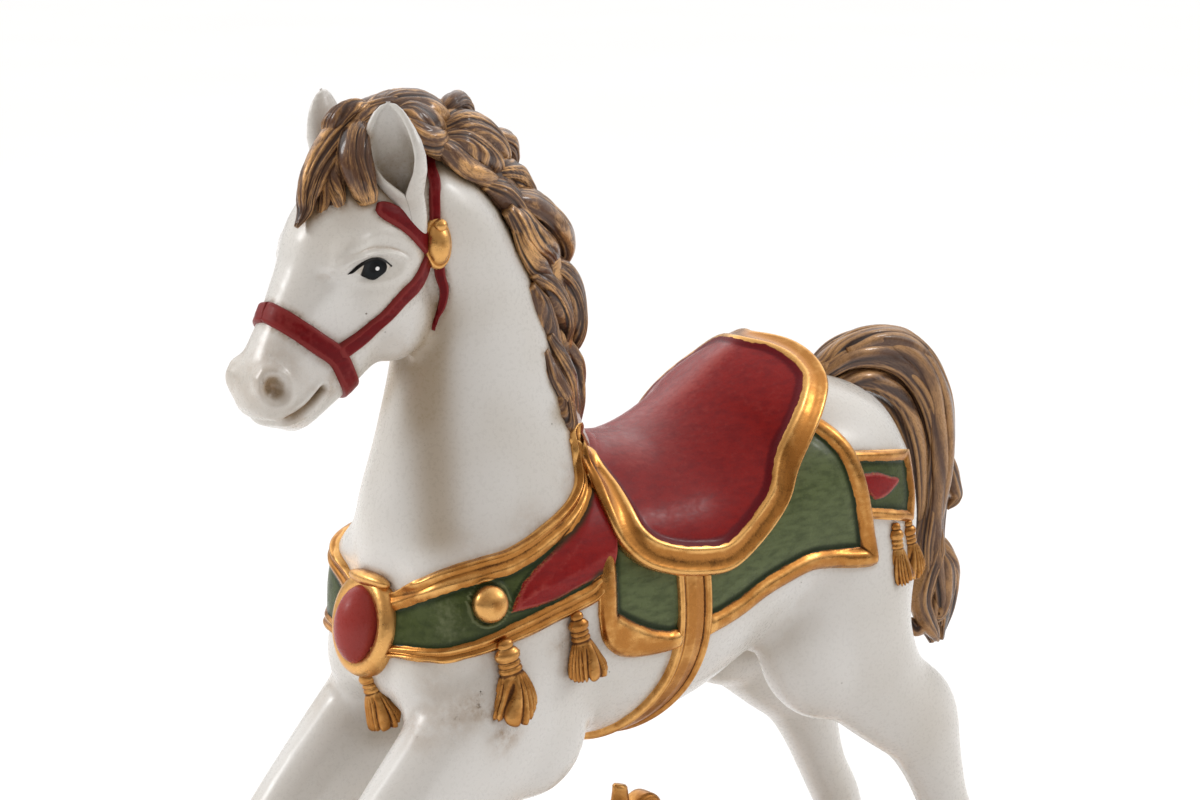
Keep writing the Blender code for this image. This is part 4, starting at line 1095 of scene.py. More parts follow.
# %% How to carve a lock
class Hair:
    """Collects locks into one mesh. Ridge height and the place along and round each lock are noted."""

    def __init__(self):
        self.points, self.faces, self.ridge, self.comb, self.count = [], [], [], [], 0

    def lock(
        self, path, wide, thick, facing, strands, depth, tip, twist=1.2, seed=0.0, steps=44, around=72,
        root=0.45,
    ):
        """One lock, whose broad side faces `facing`. `strands` and `depth` say how many ridges there are and
        how deep their valleys are, `tip` and `root` how blunt its ends are."""
        line = spread(path, steps)
        share = np.linspace(0, 1, steps)
        runs = unit(np.gradient(line, axis=0))
        along = np.concatenate([[0], np.cumsum(np.linalg.norm(np.diff(line, axis=0), axis=1))])
        turn = circle(around)
        swell = [root, 0.9, 1, 0.8 + 0.2 * tip, 0.42 + 0.5 * tip, 0.6 * tip]
        full = np.interp(share, [0, 0.22, 0.5, 0.76, 0.93, 1], swell)
        full = np.convolve(np.pad(full, 2, mode="edge"), np.ones(5) / 5, mode="valid")
        warp = turn + 0.38 * np.sin(2 * turn + seed) + 0.16 * np.sin(3 * turn + 2 * seed)
        rings = []
        for t, place, run, size, far in zip(share, line, runs, full, along):
            out = unit(np.array(facing, float) - run * (run @ np.array(facing, float)))
            side = np.cross(run, out)
            comb = warp + twist * t + 0.3 * math.sin(5 * t + seed)
            broad = np.abs(np.cos(strands * comb / 2 + seed)) ** 0.7
            fine = np.abs(np.cos(strands * 1.5 * comb + 2 * seed + 0.6 * math.sin(7 * t + seed)))
            ridge = 0.62 * broad + 0.38 * fine
            r = (1 - depth * (1 - ridge)) * (1 + 0.07 * np.sin(9 * t + 2 * turn + seed))
            rings.append(oval_ring(place, turn, r * thick * size, out, r * wide * size, side))
            self.ridge += list(ridge)
            reach = 0.5 * (wide + thick)
            lengthways = 0 * comb + far / 7 + seed * 11  # drawn out along the lock, and its own on each
            self.comb += list(np.stack([np.cos(comb) * reach, np.sin(comb) * reach, lengthways], axis=1))
        points, faces = tube(rings)
        self.points.append(points)
        self.faces += [tuple(k + self.count for k in face) for face in faces]
        self.count += len(points)
        self.ridge += [0.5, 0.5]
        self.comb += [self.comb[-len(rings) * around], self.comb[-1]]

    def finish(self, name):
        piece = solid(name, np.vstack(self.points), self.faces)
        note(piece, "ridge", self.ridge)
        for key, values in zip(("comb_x", "comb_y", "comb_z"), (np.array(self.comb) * MM).T):
            note(piece, key, values)
        return piece


# %% [markdown]
# ### Mane, forelock and tail
# The mane rises along the crest, and its locks tumble over to the right side. Those at the poll sweep
# forward between the ears as the forelock. The tail starts as one thick arch and parts into waving locks.

# %% The mane
CREST = [
    (71, 0, 77), (60, 0, 76), (47, 0, 69), (37, 0, 58), (29, 0, 46), (25, 0, 32), (22, 0, 19), (20, 0, 7),
    (18, 0, -3),
]
mane_hair = Hair()
core = [(x - 4, y - 2, z + 0.5) for x, y, z in CREST]
mane_hair.lock(core, 10, 8, (-0.6, 0, 0.8), strands=9, depth=0.12, tip=0.4, twist=0.3, root=0.6)
MANE_LOCKS = [  # path, half width, half thickness, facing
    ([(78, 3, 88), (71, 3, 88.6), (62.5, 2.5, 88), (56.5, 1, 85), (54, -1, 81), (55, -2, 77)],
     5.0, 3.4, (0.1, 0.55, 0.8)),
    ([(75, 7, 86), (69, 7.2, 86), (63, 6, 84), (59, 4, 80.5), (57.5, 2, 77)], 4.3, 3.2, (0, 0.8, 0.6)),
    ([(73, 8.5, 84.5), (69, 9.2, 82), (63.5, 8.6, 79), (55.5, 5, 75)], 4.8, 3.2, (0, 0.95, 0.3)),
    ([(55, 0, 85), (51.5, -1, 87), (47, -3, 87.4), (43.3, -5, 85.5), (42.6, -6.5, 82), (46.5, -7.5, 79.5)],
     3.4, 2.8, (-0.2, 0.2, 0.95)),
    ([(59, 3, 81.5), (52, 3, 82.6), (44, 2, 80), (37, 0, 75.5), (34.2, -2, 70.6), (36.5, -3.5, 66.5)],
     6.0, 4.2, (-0.3, 0.5, 0.8)),
    ([(60, 6.5, 79), (54, 6.8, 78), (46.5, 5.8, 75), (40, 3.5, 70.5), (37, 1, 65.5)],
     5.0, 3.8, (-0.2, 0.8, 0.5)),
    ([(64.5, 8.8, 79), (59, 9, 75.7), (53.4, 8.8, 72), (46, 7.6, 67.6), (40, 6, 63)],
     4.0, 3.0, (0, 0.95, 0.3)),
    ([(41, -2, 77), (34, -4, 76.5), (28.4, -6, 73.8), (26.3, -8, 69.5), (28.5, -10, 65)],
     4.3, 3.6, (-0.6, 0.1, 0.8)),
    ([(43, 3, 69), (37, 2, 69), (30, 0, 66), (25.6, -1, 61.3), (23, -3, 56)], 5.2, 4.0, (-0.4, 0.4, 0.8)),
    ([(47, 7.8, 66.5), (41.5, 7.8, 64), (36, 6.8, 60), (31.5, 5, 56), (27, 3, 50.5)],
     4.6, 3.5, (-0.3, 0.8, 0.5)),
    ([(38, 6, 62), (31, 5, 59.5), (22.5, 3, 55.5), (15.6, 1, 49.4), (13, -1, 43), (15, -3, 37)],
     6.2, 4.4, (-0.6, 0.5, 0.6)),
    ([(40.5, 9.6, 59.3), (36, 9.9, 55.2), (30.5, 9, 50.7), (24, 6.6, 46), (19, 4, 40)],
     4.8, 3.5, (-0.3, 0.9, 0.4)),
    ([(38, 10.4, 54), (35, 10.8, 48.7), (32, 10.2, 44), (27.3, 8.6, 39.4), (22, 6, 34)],
     3.7, 3.0, (-0.3, 0.95, 0.1)),
    ([(26.2, 5, 44), (19, 3, 40.5), (12.6, 1, 34), (9.2, 0, 26), (8.8, -1, 19), (11, -2.5, 13)],
     5.8, 4.4, (-0.8, 0.5, 0.3)),
    ([(32.2, 9.8, 41.7), (27.3, 9, 37.8), (21.5, 7, 32), (17, 4.8, 25), (16, 3, 17)],
     4.9, 3.8, (-0.6, 0.8, 0.2)),
    ([(33.7, 10.8, 38), (31, 11, 33), (27.4, 10, 27), (24.4, 8.8, 20), (20.8, 6.5, 12.5)],
     3.9, 3.1, (-0.5, 0.9, 0)),
    ([(22.6, 4, 21), (16.4, 2, 18.8), (11.4, 0, 13), (11, 0.5, 6), (13.4, 4, -0.2), (16.8, 8, -4)],
     4.9, 4.2, (-0.9, 0.4, 0.1)),
    ([(31.5, 13.6, 20), (29, 14.2, 13.5), (25.8, 14.3, 7), (22.8, 13.2, 0.5), (20.5, 12, -5)],
     4.4, 3.2, (-0.5, 0.85, 0)),
    ([(28, 11.5, 24), (24.5, 11.5, 17), (21, 10.8, 10), (18.5, 9, 3), (16.5, 8, -3)],
     4.0, 3.4, (-0.5, 0.85, 0)),
    ([(27.5, 14.5, 10), (26.3, 15.4, 5), (25.2, 16.1, 1), (24.2, 16.5, -3.5)], 3.7, 3.0, (-0.5, 0.9, 0)),
]
for k, (path, wide, thick, facing) in enumerate(MANE_LOCKS):
    tip = 0.5 if path[-1][2] < 0 else 0.2  # the lowest locks end bluntly against the tack
    twist = 0.8 * (-1) ** k
    mane_hair.lock(path, wide, thick, facing, 3 + k % 3, 0.24, tip, twist, seed=k * 1.3 + 0.4)
line = spread(CREST, 40)
for k in range(13):  # the far side, where the locks hang down the neck
    at = line[min(3 * k + 1, 38)]
    run = unit(line[min(3 * k + 2, 39)] - at)
    out = np.array((run[2], 0, -run[0]))
    size = min(1.0, 0.55 + np.linalg.norm(line[-1] - at) / 45)
    wave = 2.0 * (-1) ** k
    fall = [
        at + out * 5 + (0, 1, 0),
        at + out * (5 + wave) + run * 5 - (0, 8, 0),
        at + out * (1 - wave) + run * 14 * size - (0, 15, 4),
        at - out * (3 - wave) + run * 24 * size - (0, 17, 8 * size),
        at - out * (2 + wave) + run * 34 * size - (0, 17.5, 10 * size),
    ]
    shape = {"strands": 5 + k % 2, "depth": 0.34, "tip": 0.12, "seed": k * 2.1 + 4}
    mane_hair.lock(fall, 6.4 * size, 4.4 * size, (-0.3, -0.9, 0.3), steps=34, around=56, **shape)
mane = mane_hair.finish("mane")
print("mane:", len(mane.data.polygons), "faces")

# %% The forelock
forelock_hair = Hair()
FORELOCKS = [  # path, half width, half thickness, facing, tip, depth
    ([(62, 1, 88.3), (71, 2, 88.5), (79.7, 2, 87), (86.4, 2, 83.5), (91.8, 2, 78.7), (96.9, 2.5, 73.1),
      (99.8, 3, 67.5), (101, 3.5, 63.3), (104, 4, 59.7)],
     5.2, 4.0, (0.8, 0.45, 0.4), 0.1, 0.34),
    ([(76, 3, 86.5), (83, 4, 83), (88.5, 4, 77.6), (92.5, 4.5, 71.5), (95.2, 5, 65.5), (98, 5.5, 61.3)],
     4.6, 3.6, (0.75, 0.6, 0.3), 0.15, 0.34),
    ([(79, 3, 88), (84.8, 2.5, 88.3), (88.6, 2, 87), (90.3, 1, 84.5), (90, 0, 82), (92.5, -1, 79)],
     3.1, 2.7, (0.6, 0.5, 0.6), 0.3, 0.3),
    ([(83, 4, 85), (87.6, 7.3, 82), (89.5, 9.7, 77.2), (88.8, 11.3, 71.3), (87.3, 11.9, 65.0)],
     4.4, 3.0, (0.6, 0.78, 0.1), 0.85, 0.1),
    ([(89.3, 4, 79), (91.8, 5.2, 74), (93.2, 6.6, 69.7), (93.6, 7.6, 66.5), (93.6, 8.2, 62.8)],
     2.7, 2.3, (0.6, 0.75, 0.3), 0.3, 0.3),
    ([(55, 0, 87), (63, 0, 88.6), (73.6, 1, 88.4), (83, 3, 85.9), (88, 4, 81.7), (91, 5, 77)],
     4.4, 3.4, (0.3, 0.5, 0.8), 0.2, 0.34),
    ([(68, -3, 86), (76, -4, 86.5), (82, -6, 82.5), (86, -8, 76), (89, -9, 70), (92, -9.5, 66)],
     3.9, 3.3, (0.7, -0.4, 0.5), 0.15, 0.34),
    ([(68, -6, 83.5), (76, -9, 83), (82, -11, 78), (84.5, -12.3, 72), (85, -12.5, 67)],
     4.0, 3.2, (0.6, -0.7, 0.3), 0.2, 0.34),
]
for k, (path, wide, thick, facing, tip, depth) in enumerate(FORELOCKS):
    forelock_hair.lock(path, wide, thick, facing, 5 + k % 3, depth, tip, twist=0.9, seed=k * 1.9 + 1)
forelock = forelock_hair.finish("forelock")
print("forelock:", len(forelock.data.polygons), "faces")

# %% The tail
TAIL = [
    (-84, 0, -4), (-94, 0, 0.6), (-104, 0, 2), (-115.5, 0, 0), (-124.8, 0, -5.8), (-131.5, 0, -15),
    (-134.6, 0, -27), (-135.5, 0, -40), (-135, 0, -53), (-133.5, 0, -65), (-135.5, 0, -77), (-138, 0, -88),
    (-140.5, 0, -97.5),
]
TAIL_SWELL = [
    (0, 3.4), (0.1, 5.6), (0.22, 7.4), (0.4, 8.4), (0.55, 8.0), (0.7, 4.4), (0.82, 7.6), (0.92, 7.0),
    (1, 3.2),
]
TAIL_STEPS, TAIL_LOCKS = 25, 11
tail_hair = Hair()
centre_line = spread(TAIL, TAIL_STEPS)
tail_runs = unit(np.gradient(centre_line, axis=0))
swell = np.interp(np.linspace(0, 1, TAIL_STEPS), *np.array(TAIL_SWELL).T)
tail_hair.lock(centre_line[:22:3], 7.0, 6.4, (-0.5, 0, 0.8), 6, 0.18, tip=0.6, twist=0.3, root=0.6)
for k in range(TAIL_LOCKS):
    angle = 2 * math.pi * (k + 0.3) / TAIL_LOCKS
    path = []
    for j, (place, run, reach) in enumerate(zip(centre_line, tail_runs, swell)):
        outward = np.array((run[2], 0, -run[0]))
        wind = angle + 0.4 * math.sin(0.36 * j + 1.7 * k) + 0.02 * j
        path.append(place + reach * 0.62 * (outward * math.cos(wind) + LEFT * math.sin(wind)))
    first, last = (0, 2, 5)[k % 3], TAIL_STEPS - (0, 3, 1, 2)[k % 4]
    facing = (-0.7 * math.cos(angle), math.sin(angle), 0.5 * math.cos(angle))
    shape = {"strands": 2 + k % 2, "depth": 0.3, "tip": 0.3, "twist": 0.5, "root": 0.55}
    tail_hair.lock(path[first:last:2], 5.0, 3.9, facing, seed=k * 1.7, steps=80, around=54, **shape)
CURLS = [  # short locks that leave the tail and turn outwards
    ([(-136.5, 1, -31), (-141, 2, -39), (-144.6, 2, -46.5), (-146.6, 1, -51.5), (-144, 0, -55)], 3.2, 2.9),
    ([(-134.5, -3, -38), (-137.5, -3, -46), (-140.5, -3, -52), (-139, -3, -57)], 2.8, 2.6),
    ([(-137, 1, -74), (-136.5, 2, -82), (-133.5, 2, -88.5), (-129.5, 1, -91.5), (-127.5, 1, -88)], 3.7, 3.2),
    ([(-134, 1, -60), (-140.5, 1.5, -67), (-144.3, 1.5, -74), (-144, 1, -84), (-142, 1, -92), (-140, 1, -98)],
     3.9, 3.4),
    ([(-90, 2, -8), (-102, 2, -7), (-112, 2, -11), (-120, 2, -19), (-125.5, 2, -31), (-128, 2, -44),
      (-130, 1, -58)],
     5.0, 5.5),
    ([(-92, -3, -8), (-104, -3, -8), (-114, -3, -13), (-121, -3, -23), (-125.5, -3, -37), (-128, -3, -50)],
     5.0, 5.0),
    ([(-136, 3, -56), (-134.5, 3.5, -66), (-131.5, 3, -74.5), (-130, 3, -82), (-132.5, 3, -88.5),
      (-138, 3, -96.5)],
     4.6, 4.0),
    ([(-136, 4, -66), (-139.5, 4.5, -74), (-140, 4, -82), (-137, 3.5, -88), (-133.5, 3, -85.5)], 3.6, 3.0),
]
for k, (path, wide, thick) in enumerate(CURLS):
    tail_hair.lock(path, wide, thick, (0.1, 1, 0.2), strands=3, depth=0.26, tip=0.25, seed=k + 0.7, around=48)
tail = tail_hair.finish("tail")
print("tail:", len(tail.data.polygons), "faces")

# %% [markdown]
# ## Eyes
# The eye is painted, not set in. A small almond-shaped patch bulges between the lids, and the paint on it
# is drawn from two stored numbers: how far a point is from the middle of the iris, sideways and upwards.

# %% Eyes
UPPER_LID = [(95.4, 47.9), (93.2, 50.1), (90.4, 51.2), (87, 51.5), (84.4, 50.7), (82.3, 48.9)]
LOWER_LID = [(95.4, 47.9), (92.6, 48.0), (90.2, 46.6), (87.9, 45.8), (85.4, 46.9), (82.3, 48.9)]
IRIS_X, IRIS_Z = 88.0, 48.6


def eye(label, turn):
    """The bulging patch between the lids, dropped onto the sculpted head."""
    rows, cols = 44, 22
    upper, lower = [spread([(x, z, 0) for x, z in lid], rows) for lid in (UPPER_LID, LOWER_LID)]
    base_skin = Skin(body)
    grid, from_top = np.zeros((rows, cols, 3)), np.zeros((rows, cols))
    for i in range(rows):
        for j, t in enumerate(np.linspace(0, 1, cols)):
            x, z = upper[i, :2] * (1 - t) + lower[i, :2] * t
            y = base_skin.beside(x, z, turn[1])[1]
            plump = 0.95 * math.sin(math.pi * i / (rows - 1)) ** 0.7 * math.sin(math.pi * t) ** 0.7
            grid[i, j] = (x, y + turn[1] * (0.25 + plump), z)
            from_top[i, j] = np.linalg.norm(upper[i] - lower[i]) * t
    piece = solid(f"eye_{label}", *slab(grid, grid - (0, 2.2 * turn[1], 0)))
    noted = {"eye_x": grid[..., 0] - IRIS_X, "eye_z": grid[..., 2] - IRIS_Z, "lid": from_top}
    for key, values in noted.items():
        note(piece, key, np.concatenate([values.ravel(), values.ravel()]))
    return piece


eyes = join("eyes", [eye(label, turn) for label, turn in SIDES.items()])
print("eyes made")

# %% [markdown]
# ## The rocker stand
# Two bow rockers carry three cross boards, and a carved crest stands on the middle one. The rockers are
# rectangular bars bent along a large circle, with a raised gold edge round a sunk red panel, and scrolls
# at their ends. The crest is a turned baluster with two scrolls and a cut-off bud.

# %% Rockers
ROCK_RADIUS, FLAT_DEPTH = 400.0, 0.8  # the rockers' circle, and how deep the flat under their middle is cut
RAIL_DEPTH, RAIL_WIDTH, RAIL_OUT, RAIL_REACH = 12.0, 11.0, 27.0, 176.0
VOLUTE_RADIUS, BOARD_ANGLE = 9.5, 0.235
BOARD_REACH, CREST_TOP = round(stand_reach[1] / MM, 1), round(stand_reach[2] / MM, 1)
CENTRE_UP = ROCK_RADIUS - FLAT_DEPTH
FLOOR_ZERO = np.zeros(3)  # the stand's points are measured from the floor under its middle


def on_arc(angle, inward):
    """A point on the rocker's curve, `inward` millimetres above its underside."""
    radius = ROCK_RADIUS - inward
    return np.array((radius * math.sin(angle), 0.0, CENTRE_UP - radius * math.cos(angle)))


def rail(side):
    """One rocker. Its section is a bar with round corners and a sunk panel on both flanks."""
    reach = math.asin(RAIL_REACH / ROCK_RADIUS)
    flat = math.acos(CENTRE_UP / ROCK_RADIUS)
    half = RAIL_WIDTH / 2
    low = [(1.4, 0), (0.4, 0.4), (0, 1.4), (0, 2.0), (0.1, 2.5), (0.9, 3.1), (0.9, 6)]  # depth of cut, height
    flank = [(half - cut, up) for cut, up in low]
    flank += [(half - cut, RAIL_DEPTH - up) for cut, up in low[-2::-1]]
    section = flank + [(-y, up) for y, up in flank[::-1]]
    rings, gilt = [], []
    right = np.linspace(flat, reach, 60)
    for angle in [*-right[::-1], *right]:
        ring = np.array([on_arc(angle, up) + (0, y, 0) for y, up in section])
        ring[:, 2] = np.maximum(ring[:, 2], 0)
        rings.append(ring + (0, side * RAIL_OUT, 0))
        gilt.append([-1.5 if abs(y) < half - 0.85 and 2.6 < up < 9.4 else 1.0 for y, up in section])
    piece = solid("rail", *tube(rings), at=FLOOR_ZERO)
    note(piece, "gilt", [*np.ravel(gilt), 1, 1])
    return piece


def scroll(centre, radius, depth, around=48):
    """A round scroll end: a spiral ridge round a button, on both faces."""
    shape = [
        (0.05, 0.62), (0.25, 0.6), (0.34, 0.5), (0.4, 0.42), (0.52, 0.44), (0.62, 0.56), (0.74, 0.6),
        (0.88, 0.56), (0.98, 0.44), (1.0, 0.3),
    ]
    turn = circle(around)
    rim = np.stack([np.cos(turn), 0 * turn, np.sin(turn)], axis=1)
    rings = [centre + rim * radius * share + LEFT * depth * out for share, out in shape]
    rings += [centre + rim * radius * share - LEFT * depth * out for share, out in shape[::-1]]
    piece = solid("scroll", *tube(rings), at=FLOOR_ZERO)
    note(piece, "gilt", np.ones(len(piece.data.vertices)))
    return piece


def board(angle):
    """A cross board with a raised gold edge and a green field."""
    thick, half_wide, sunk = 6.0, 12.0, 1.0
    rows, cols = 41, 61
    even = [np.linspace(-1, 1, count) for count in (rows, cols)]
    along, across = [np.sign(t) * (1 - (1 - np.abs(t)) ** 1.4) for t in even]
    top, under, gilt = np.zeros((rows, cols, 3)), np.zeros((rows, cols, 3)), np.zeros((rows, cols))
    for i, a in enumerate(along):
        for j, b in enumerate(across):
            away = min((1 - abs(a)) * half_wide, (1 - abs(b)) * BOARD_REACH)
            rise = float(profile(away, [(0, 0), (0.5, 0.8), (1.3, 1.0), (2.6, 0.9), (3.2, 0.3), (50, 0.3)]))
            spot = angle + a * half_wide / ROCK_RADIUS
            top[i, j] = on_arc(spot, RAIL_DEPTH - sunk + thick - 1.0 + rise) + (0, b * BOARD_REACH, 0)
            under[i, j] = on_arc(spot, RAIL_DEPTH - sunk) + (0, b * BOARD_REACH, 0)
            gilt[i, j] = 3.0 - away
    piece = solid("board", *slab(top, under), at=FLOOR_ZERO)
    note(piece, "gilt", np.concatenate([gilt.ravel(), np.full(gilt.size, 2.0)]))
    return piece


rails, boards, scrolls = [rail(1), rail(-1)], [board(a) for a in (-BOARD_ANGLE, 0, BOARD_ANGLE)], []
end = math.asin(RAIL_REACH / ROCK_RADIUS)
for angle in (-end, end):
    for side in (1, -1):
        centre = on_arc(angle, VOLUTE_RADIUS) + (0, side * RAIL_OUT, 0)
        scrolls.append(scroll(centre, VOLUTE_RADIUS, RAIL_WIDTH + 1))
rocker_rails = join("rocker_rails", rails + scrolls)
cross_boards = join("cross_boards", boards)
print("rockers and boards made")

# %% The carved crest
def crest():
    """A baluster with fluted swellings, a cut-off tip and a scroll on either side of it."""
    foot = RAIL_DEPTH + 3
    turned = [  # height, radius
        (foot, 12), (foot + 3, 12), (foot + 4.5, 11), (foot + 5, 9), (foot + 6, 7.4), (foot + 10, 6.2),
        (foot + 14, 5), (foot + 16, 5.8), (foot + 17, 5.8), (foot + 18.5, 5.2), (foot + 26, 8.6),
        (foot + 32, 9.6), (foot + 38, 9.2), (foot + 46, 6.2), (foot + 50, 5.2), (foot + 52, 6.0),
        (foot + 53.5, 6.0), (foot + 55, 4.6), (foot + 62, 4.2), (foot + 68, 5.8), (foot + 74, 6.8),
        (foot + 80, 6.5), (CREST_TOP - 12, 4.8), (CREST_TOP - 8, 3.6), (CREST_TOP - 5, 2.9),
        (CREST_TOP - 2, 2.5), (CREST_TOP - 0.4, 2.4), (CREST_TOP, 1.9),
    ]
    rows = spread([(0, 0, height, radius) for height, radius in turned], 130)
    turn = circle(72)
    rings, ridge = [], []
    for _, _, height, radius in rows:
        leafy = ease(height, foot + 18, foot + 26) * (1 - ease(height, foot + 44, foot + 52))
        leafy += 0.7 * ease(height, foot + 62, foot + 68) * (1 - ease(height, CREST_TOP - 12, CREST_TOP - 6))
        wave = np.abs(np.cos(5 * turn + 0.05 * (height - foot)))
        r = radius * (1 - 0.14 * leafy * (1 - wave))
        ring = np.stack([r * np.cos(turn), 0.8 * r * np.sin(turn), height + 0 * turn], axis=1)
        ring[:, 2] += (0.25 * ring[:, 0] - 0.6) * ease(height, CREST_TOP - 3, CREST_TOP)
        rings.append(ring)
        ridge.append(1 - leafy * (1 - wave))
    stem = solid("crest", *tube(rings), at=FLOOR_ZERO)
    note(stem, "ridge", [*np.ravel(ridge), 1, 1])
    parts = [stem]
    for along, below in ((-8.6, 10.3), (8.6, 15.5)):
        curl = scroll(np.array((along, 0, CREST_TOP - below)), 5.6, 6.0, around=40)
        note(curl, "ridge", np.full(len(curl.data.vertices), 0.8))
        parts.append(curl)
    return join("stand_crest", parts)


stand_crest = crest()
print("crest:", len(stand_crest.data.vertices), "points")

# %% Hooves
HOOF_GAP = 0.1  # above the rocker
HOOF_SIZE = 9.7
HOOF = [
    (-7.2, 0.62), (-6.6, 0.78), (-5.6, 0.84), (-4.6, 0.8), (-3.6, 0.84), (0, 0.94), (4, 1.04), (10, 1.14),
    (16, 1.2),
]
HOOF = [(along, HOOF_SIZE * size) for along, size in HOOF]  # place along the leg, half width
HOOVES = {  # the leg's end on the left, the way it runs, and how far forward the right one stands
    "fore": ((143.5, RAIL_OUT, -187), (0.36, 0, -0.93), FORE_DRIFT),
    "hind": ((-151.5, RAIL_OUT, -192), (-0.5, 0, -0.87), HIND_DRIFT),
}


def hoof(name, leg_end, run, drift):
    """A small bell-shaped hoof with a worn coronet, cut to the rocker's curve."""
    run = unit(run)
    front = unit(np.cross(LEFT, run))
    turn, top = circle(40), leg_end + SADDLE + (drift, 0, 0)
    rings = [oval_ring(top + run * along, turn, wide, LEFT, wide * 1.06, front) for along, wide in HOOF]
    limit = ROCK_RADIUS - RAIL_DEPTH - HOOF_GAP
    flat = np.array(rings).reshape(-1, 3)
    reach = np.hypot(flat[:, 0], flat[:, 2] - CENTRE_UP)
    scale = np.minimum(1, limit / reach)
    flat[:, 0] *= scale
    flat[:, 2] = CENTRE_UP + (flat[:, 2] - CENTRE_UP) * scale
    return solid(name, *tube(flat.reshape(len(rings), -1, 3)), at=FLOOR_ZERO)


hooves = []
for label, turn in SIDES.items():
    for key, (leg_end, run, drift) in HOOVES.items():
        forward = drift if label == "right" else 0
        hooves.append(hoof(f"{key}_hoof_{label}", np.array(leg_end) * turn, run, forward))
hooves = join("hooves", hooves)
print("hooves made")

# %% [markdown]
# ## Reading the surface before painting
# The painter wiped brown stain over the casting, so it stays in hollows and along every edge where two
# forms meet. Those places are found now: `hollow` compares each surface with a smoothed copy, and `stain`
# is how close a point of the body comes to the tack or the hair. `shade` is how shut in each point of the
# body is, with a few broad spots added, and says where a painted shade darkens it.

# %% Where the stain collects and the painted shade lies
def note_hollows(obj, fine=(4, 0.12), broad=(18, 0.7)):
    """Fine and broad hollows; each is given by its smoothing passes and the depth that counts as 1."""
    work = Clay(obj)
    depth = 0.65 * work.hollows(*fine) + 0.55 * work.hollows(*broad)
    if obj is body:
        depth *= np.where(on_head(work.at), 0.9, 0.3)
    if obj in ears:
        depth *= 0.45
    note(obj, "hollow", np.clip(depth, -1, 1))


GRIME = [  # place, reach, strength: by the tassels, between the forelegs, under the jaw, round the muzzle
    ((68.8, 32.3, -68.3), 5, 1.1), ((61, 33.6, -77), 5, 1.2), ((75.2, 30.4, -69.4), 7, 0.65),
    ((83, 24, -72), 7, 0.7), ((86, -14, -82), 8, 0.8), ((79, 25, -63), 6, 0.5), ((81.8, -10.6, -88), 7, 1.0),
    ((76.9, -9.8, -84), 5, 0.9), ((78, 0, -76), 9, 0.5), ((38, 34, -58), 6, 0.6), ((34, 34, -66), 4, 1.2),
    ((41.5, 34, -56), 3.4, 1.1), ((66.5, 33, -57), 3.4, 0.9), ((73, 9.5, 25), 7, 0.5), ((72, 0, 22), 9, 0.6),
    ((109, 9, 12), 4, 0.7), ((98, 9.4, 18.5), 3, 1.0), ((116.3, 9.8, 20.8), 3.4, 1.2), ((92, 10, 66), 5, 0.4),
    ((70, 13, 46), 4, 0.6), ((78.5, 15, 66), 4, 0.5), ((100, 1, 63), 5, 0.5), ((114, 4, 24), 10, 0.6),
    ((106, 9, 18), 7, 0.4), ((46, 27, -24), 7, 0.5), ((30, 22, -14), 5, 0.6), ((66, 27, -27), 6, 0.4),
    ((-97, 33, -52), 5, 0.4),
]


def spots(points, places):
    """How strongly soft round spots, on both sides alike, cover each point."""
    at = mirrored(points)
    return [strength * bell(np.linalg.norm(at - place, axis=1), reach) for place, reach, strength in places]


def note_grime(obj):
    """Patches of dirt where a finger can't wipe."""
    note(obj, "grime", np.max(spots(Clay(obj).at, GRIME), axis=0))


def note_stain(obj, others, reach):
    """1 where a point touches one of the other pieces, fading to 0 at `reach` millimetres."""
    points = np.vstack([Clay(o).at for o in others])
    tree = KDTree(len(points))
    for k, p in enumerate(points):
        tree.insert(p, k)
    tree.balance()
    near = np.array([tree.find(p)[2] for p in Clay(obj).at])
    note(obj, "stain", np.clip(1 - near / reach, 0, 1))


SHADE_SPOTS = [  # place, reach, strength: spots of painted shade, a thin brown, in broad hollows
    ((-44, 27, -72), 15, 0.2), ((-100, 28, -106), 18, 0.3), ((113, 6, 20), 11, 0.3), ((31, 18, 3), 4, 0.5),
    ((82, 10, 26), 8, 0.3), ((-62, 25, -98), 16, 0.28),
]
NECK_SHADE = [(64.5, 8, 33), (66.3, 10, 14), (68, 13, -6), (69.5, 17, -24)]  # painted shade down the neck's front
RAYS, GOLDEN_ANGLE = 22, 2.39996  # steps of the golden angle spread the rays evenly over a sphere


def note_shade(obj, others, reach=24.0):
    """Painted shade: how shut in each point is, the share of directions out of the skin blocked near by."""
    points, faces = [], []
    for piece in [obj, *others]:
        start = sum(len(p) for p in points)
        points.append(Clay(piece).at)
        faces += [[start + k for k in f.vertices] for f in piece.data.polygons]
    tree = BVHTree.FromPolygons([Vector(p) for p in np.vstack(points)], faces)
    work = Clay(obj)
    height = 1 - 2 * (np.arange(RAYS) + 0.5) / RAYS
    swing, wide = np.arange(RAYS) * GOLDEN_ANGLE, np.sqrt(1 - height**2)
    rays = np.stack([wide * np.cos(swing), wide * np.sin(swing), height], axis=1)
    lean = work.normal @ rays.T
    shade = np.zeros(len(work.at))
    ways = [Vector(r) for r in rays]
    for k, (place, normal) in enumerate(zip(work.at, work.normal)):
        start = Vector(place + normal * 0.6)
        for j in np.nonzero(lean[k] > 0.2)[0]:
            if tree.ray_cast(start, ways[j], reach)[3] is not None:
                shade[k] += lean[k, j]
    shade /= np.maximum(np.where(lean > 0.2, lean, 0).sum(axis=1), 1e-6)
    for _ in range(5):
        shade = 0.5 * (shade + work.around(shade))
    extra_shade = spots(work.at, SHADE_SPOTS)
    extra_shade.append(0.6 * bell(line_distance(mirrored(work.at), NECK_SHADE), 8))
    note(obj, "shade", np.clip(shade + np.max(extra_shade, axis=0), 0, 1))


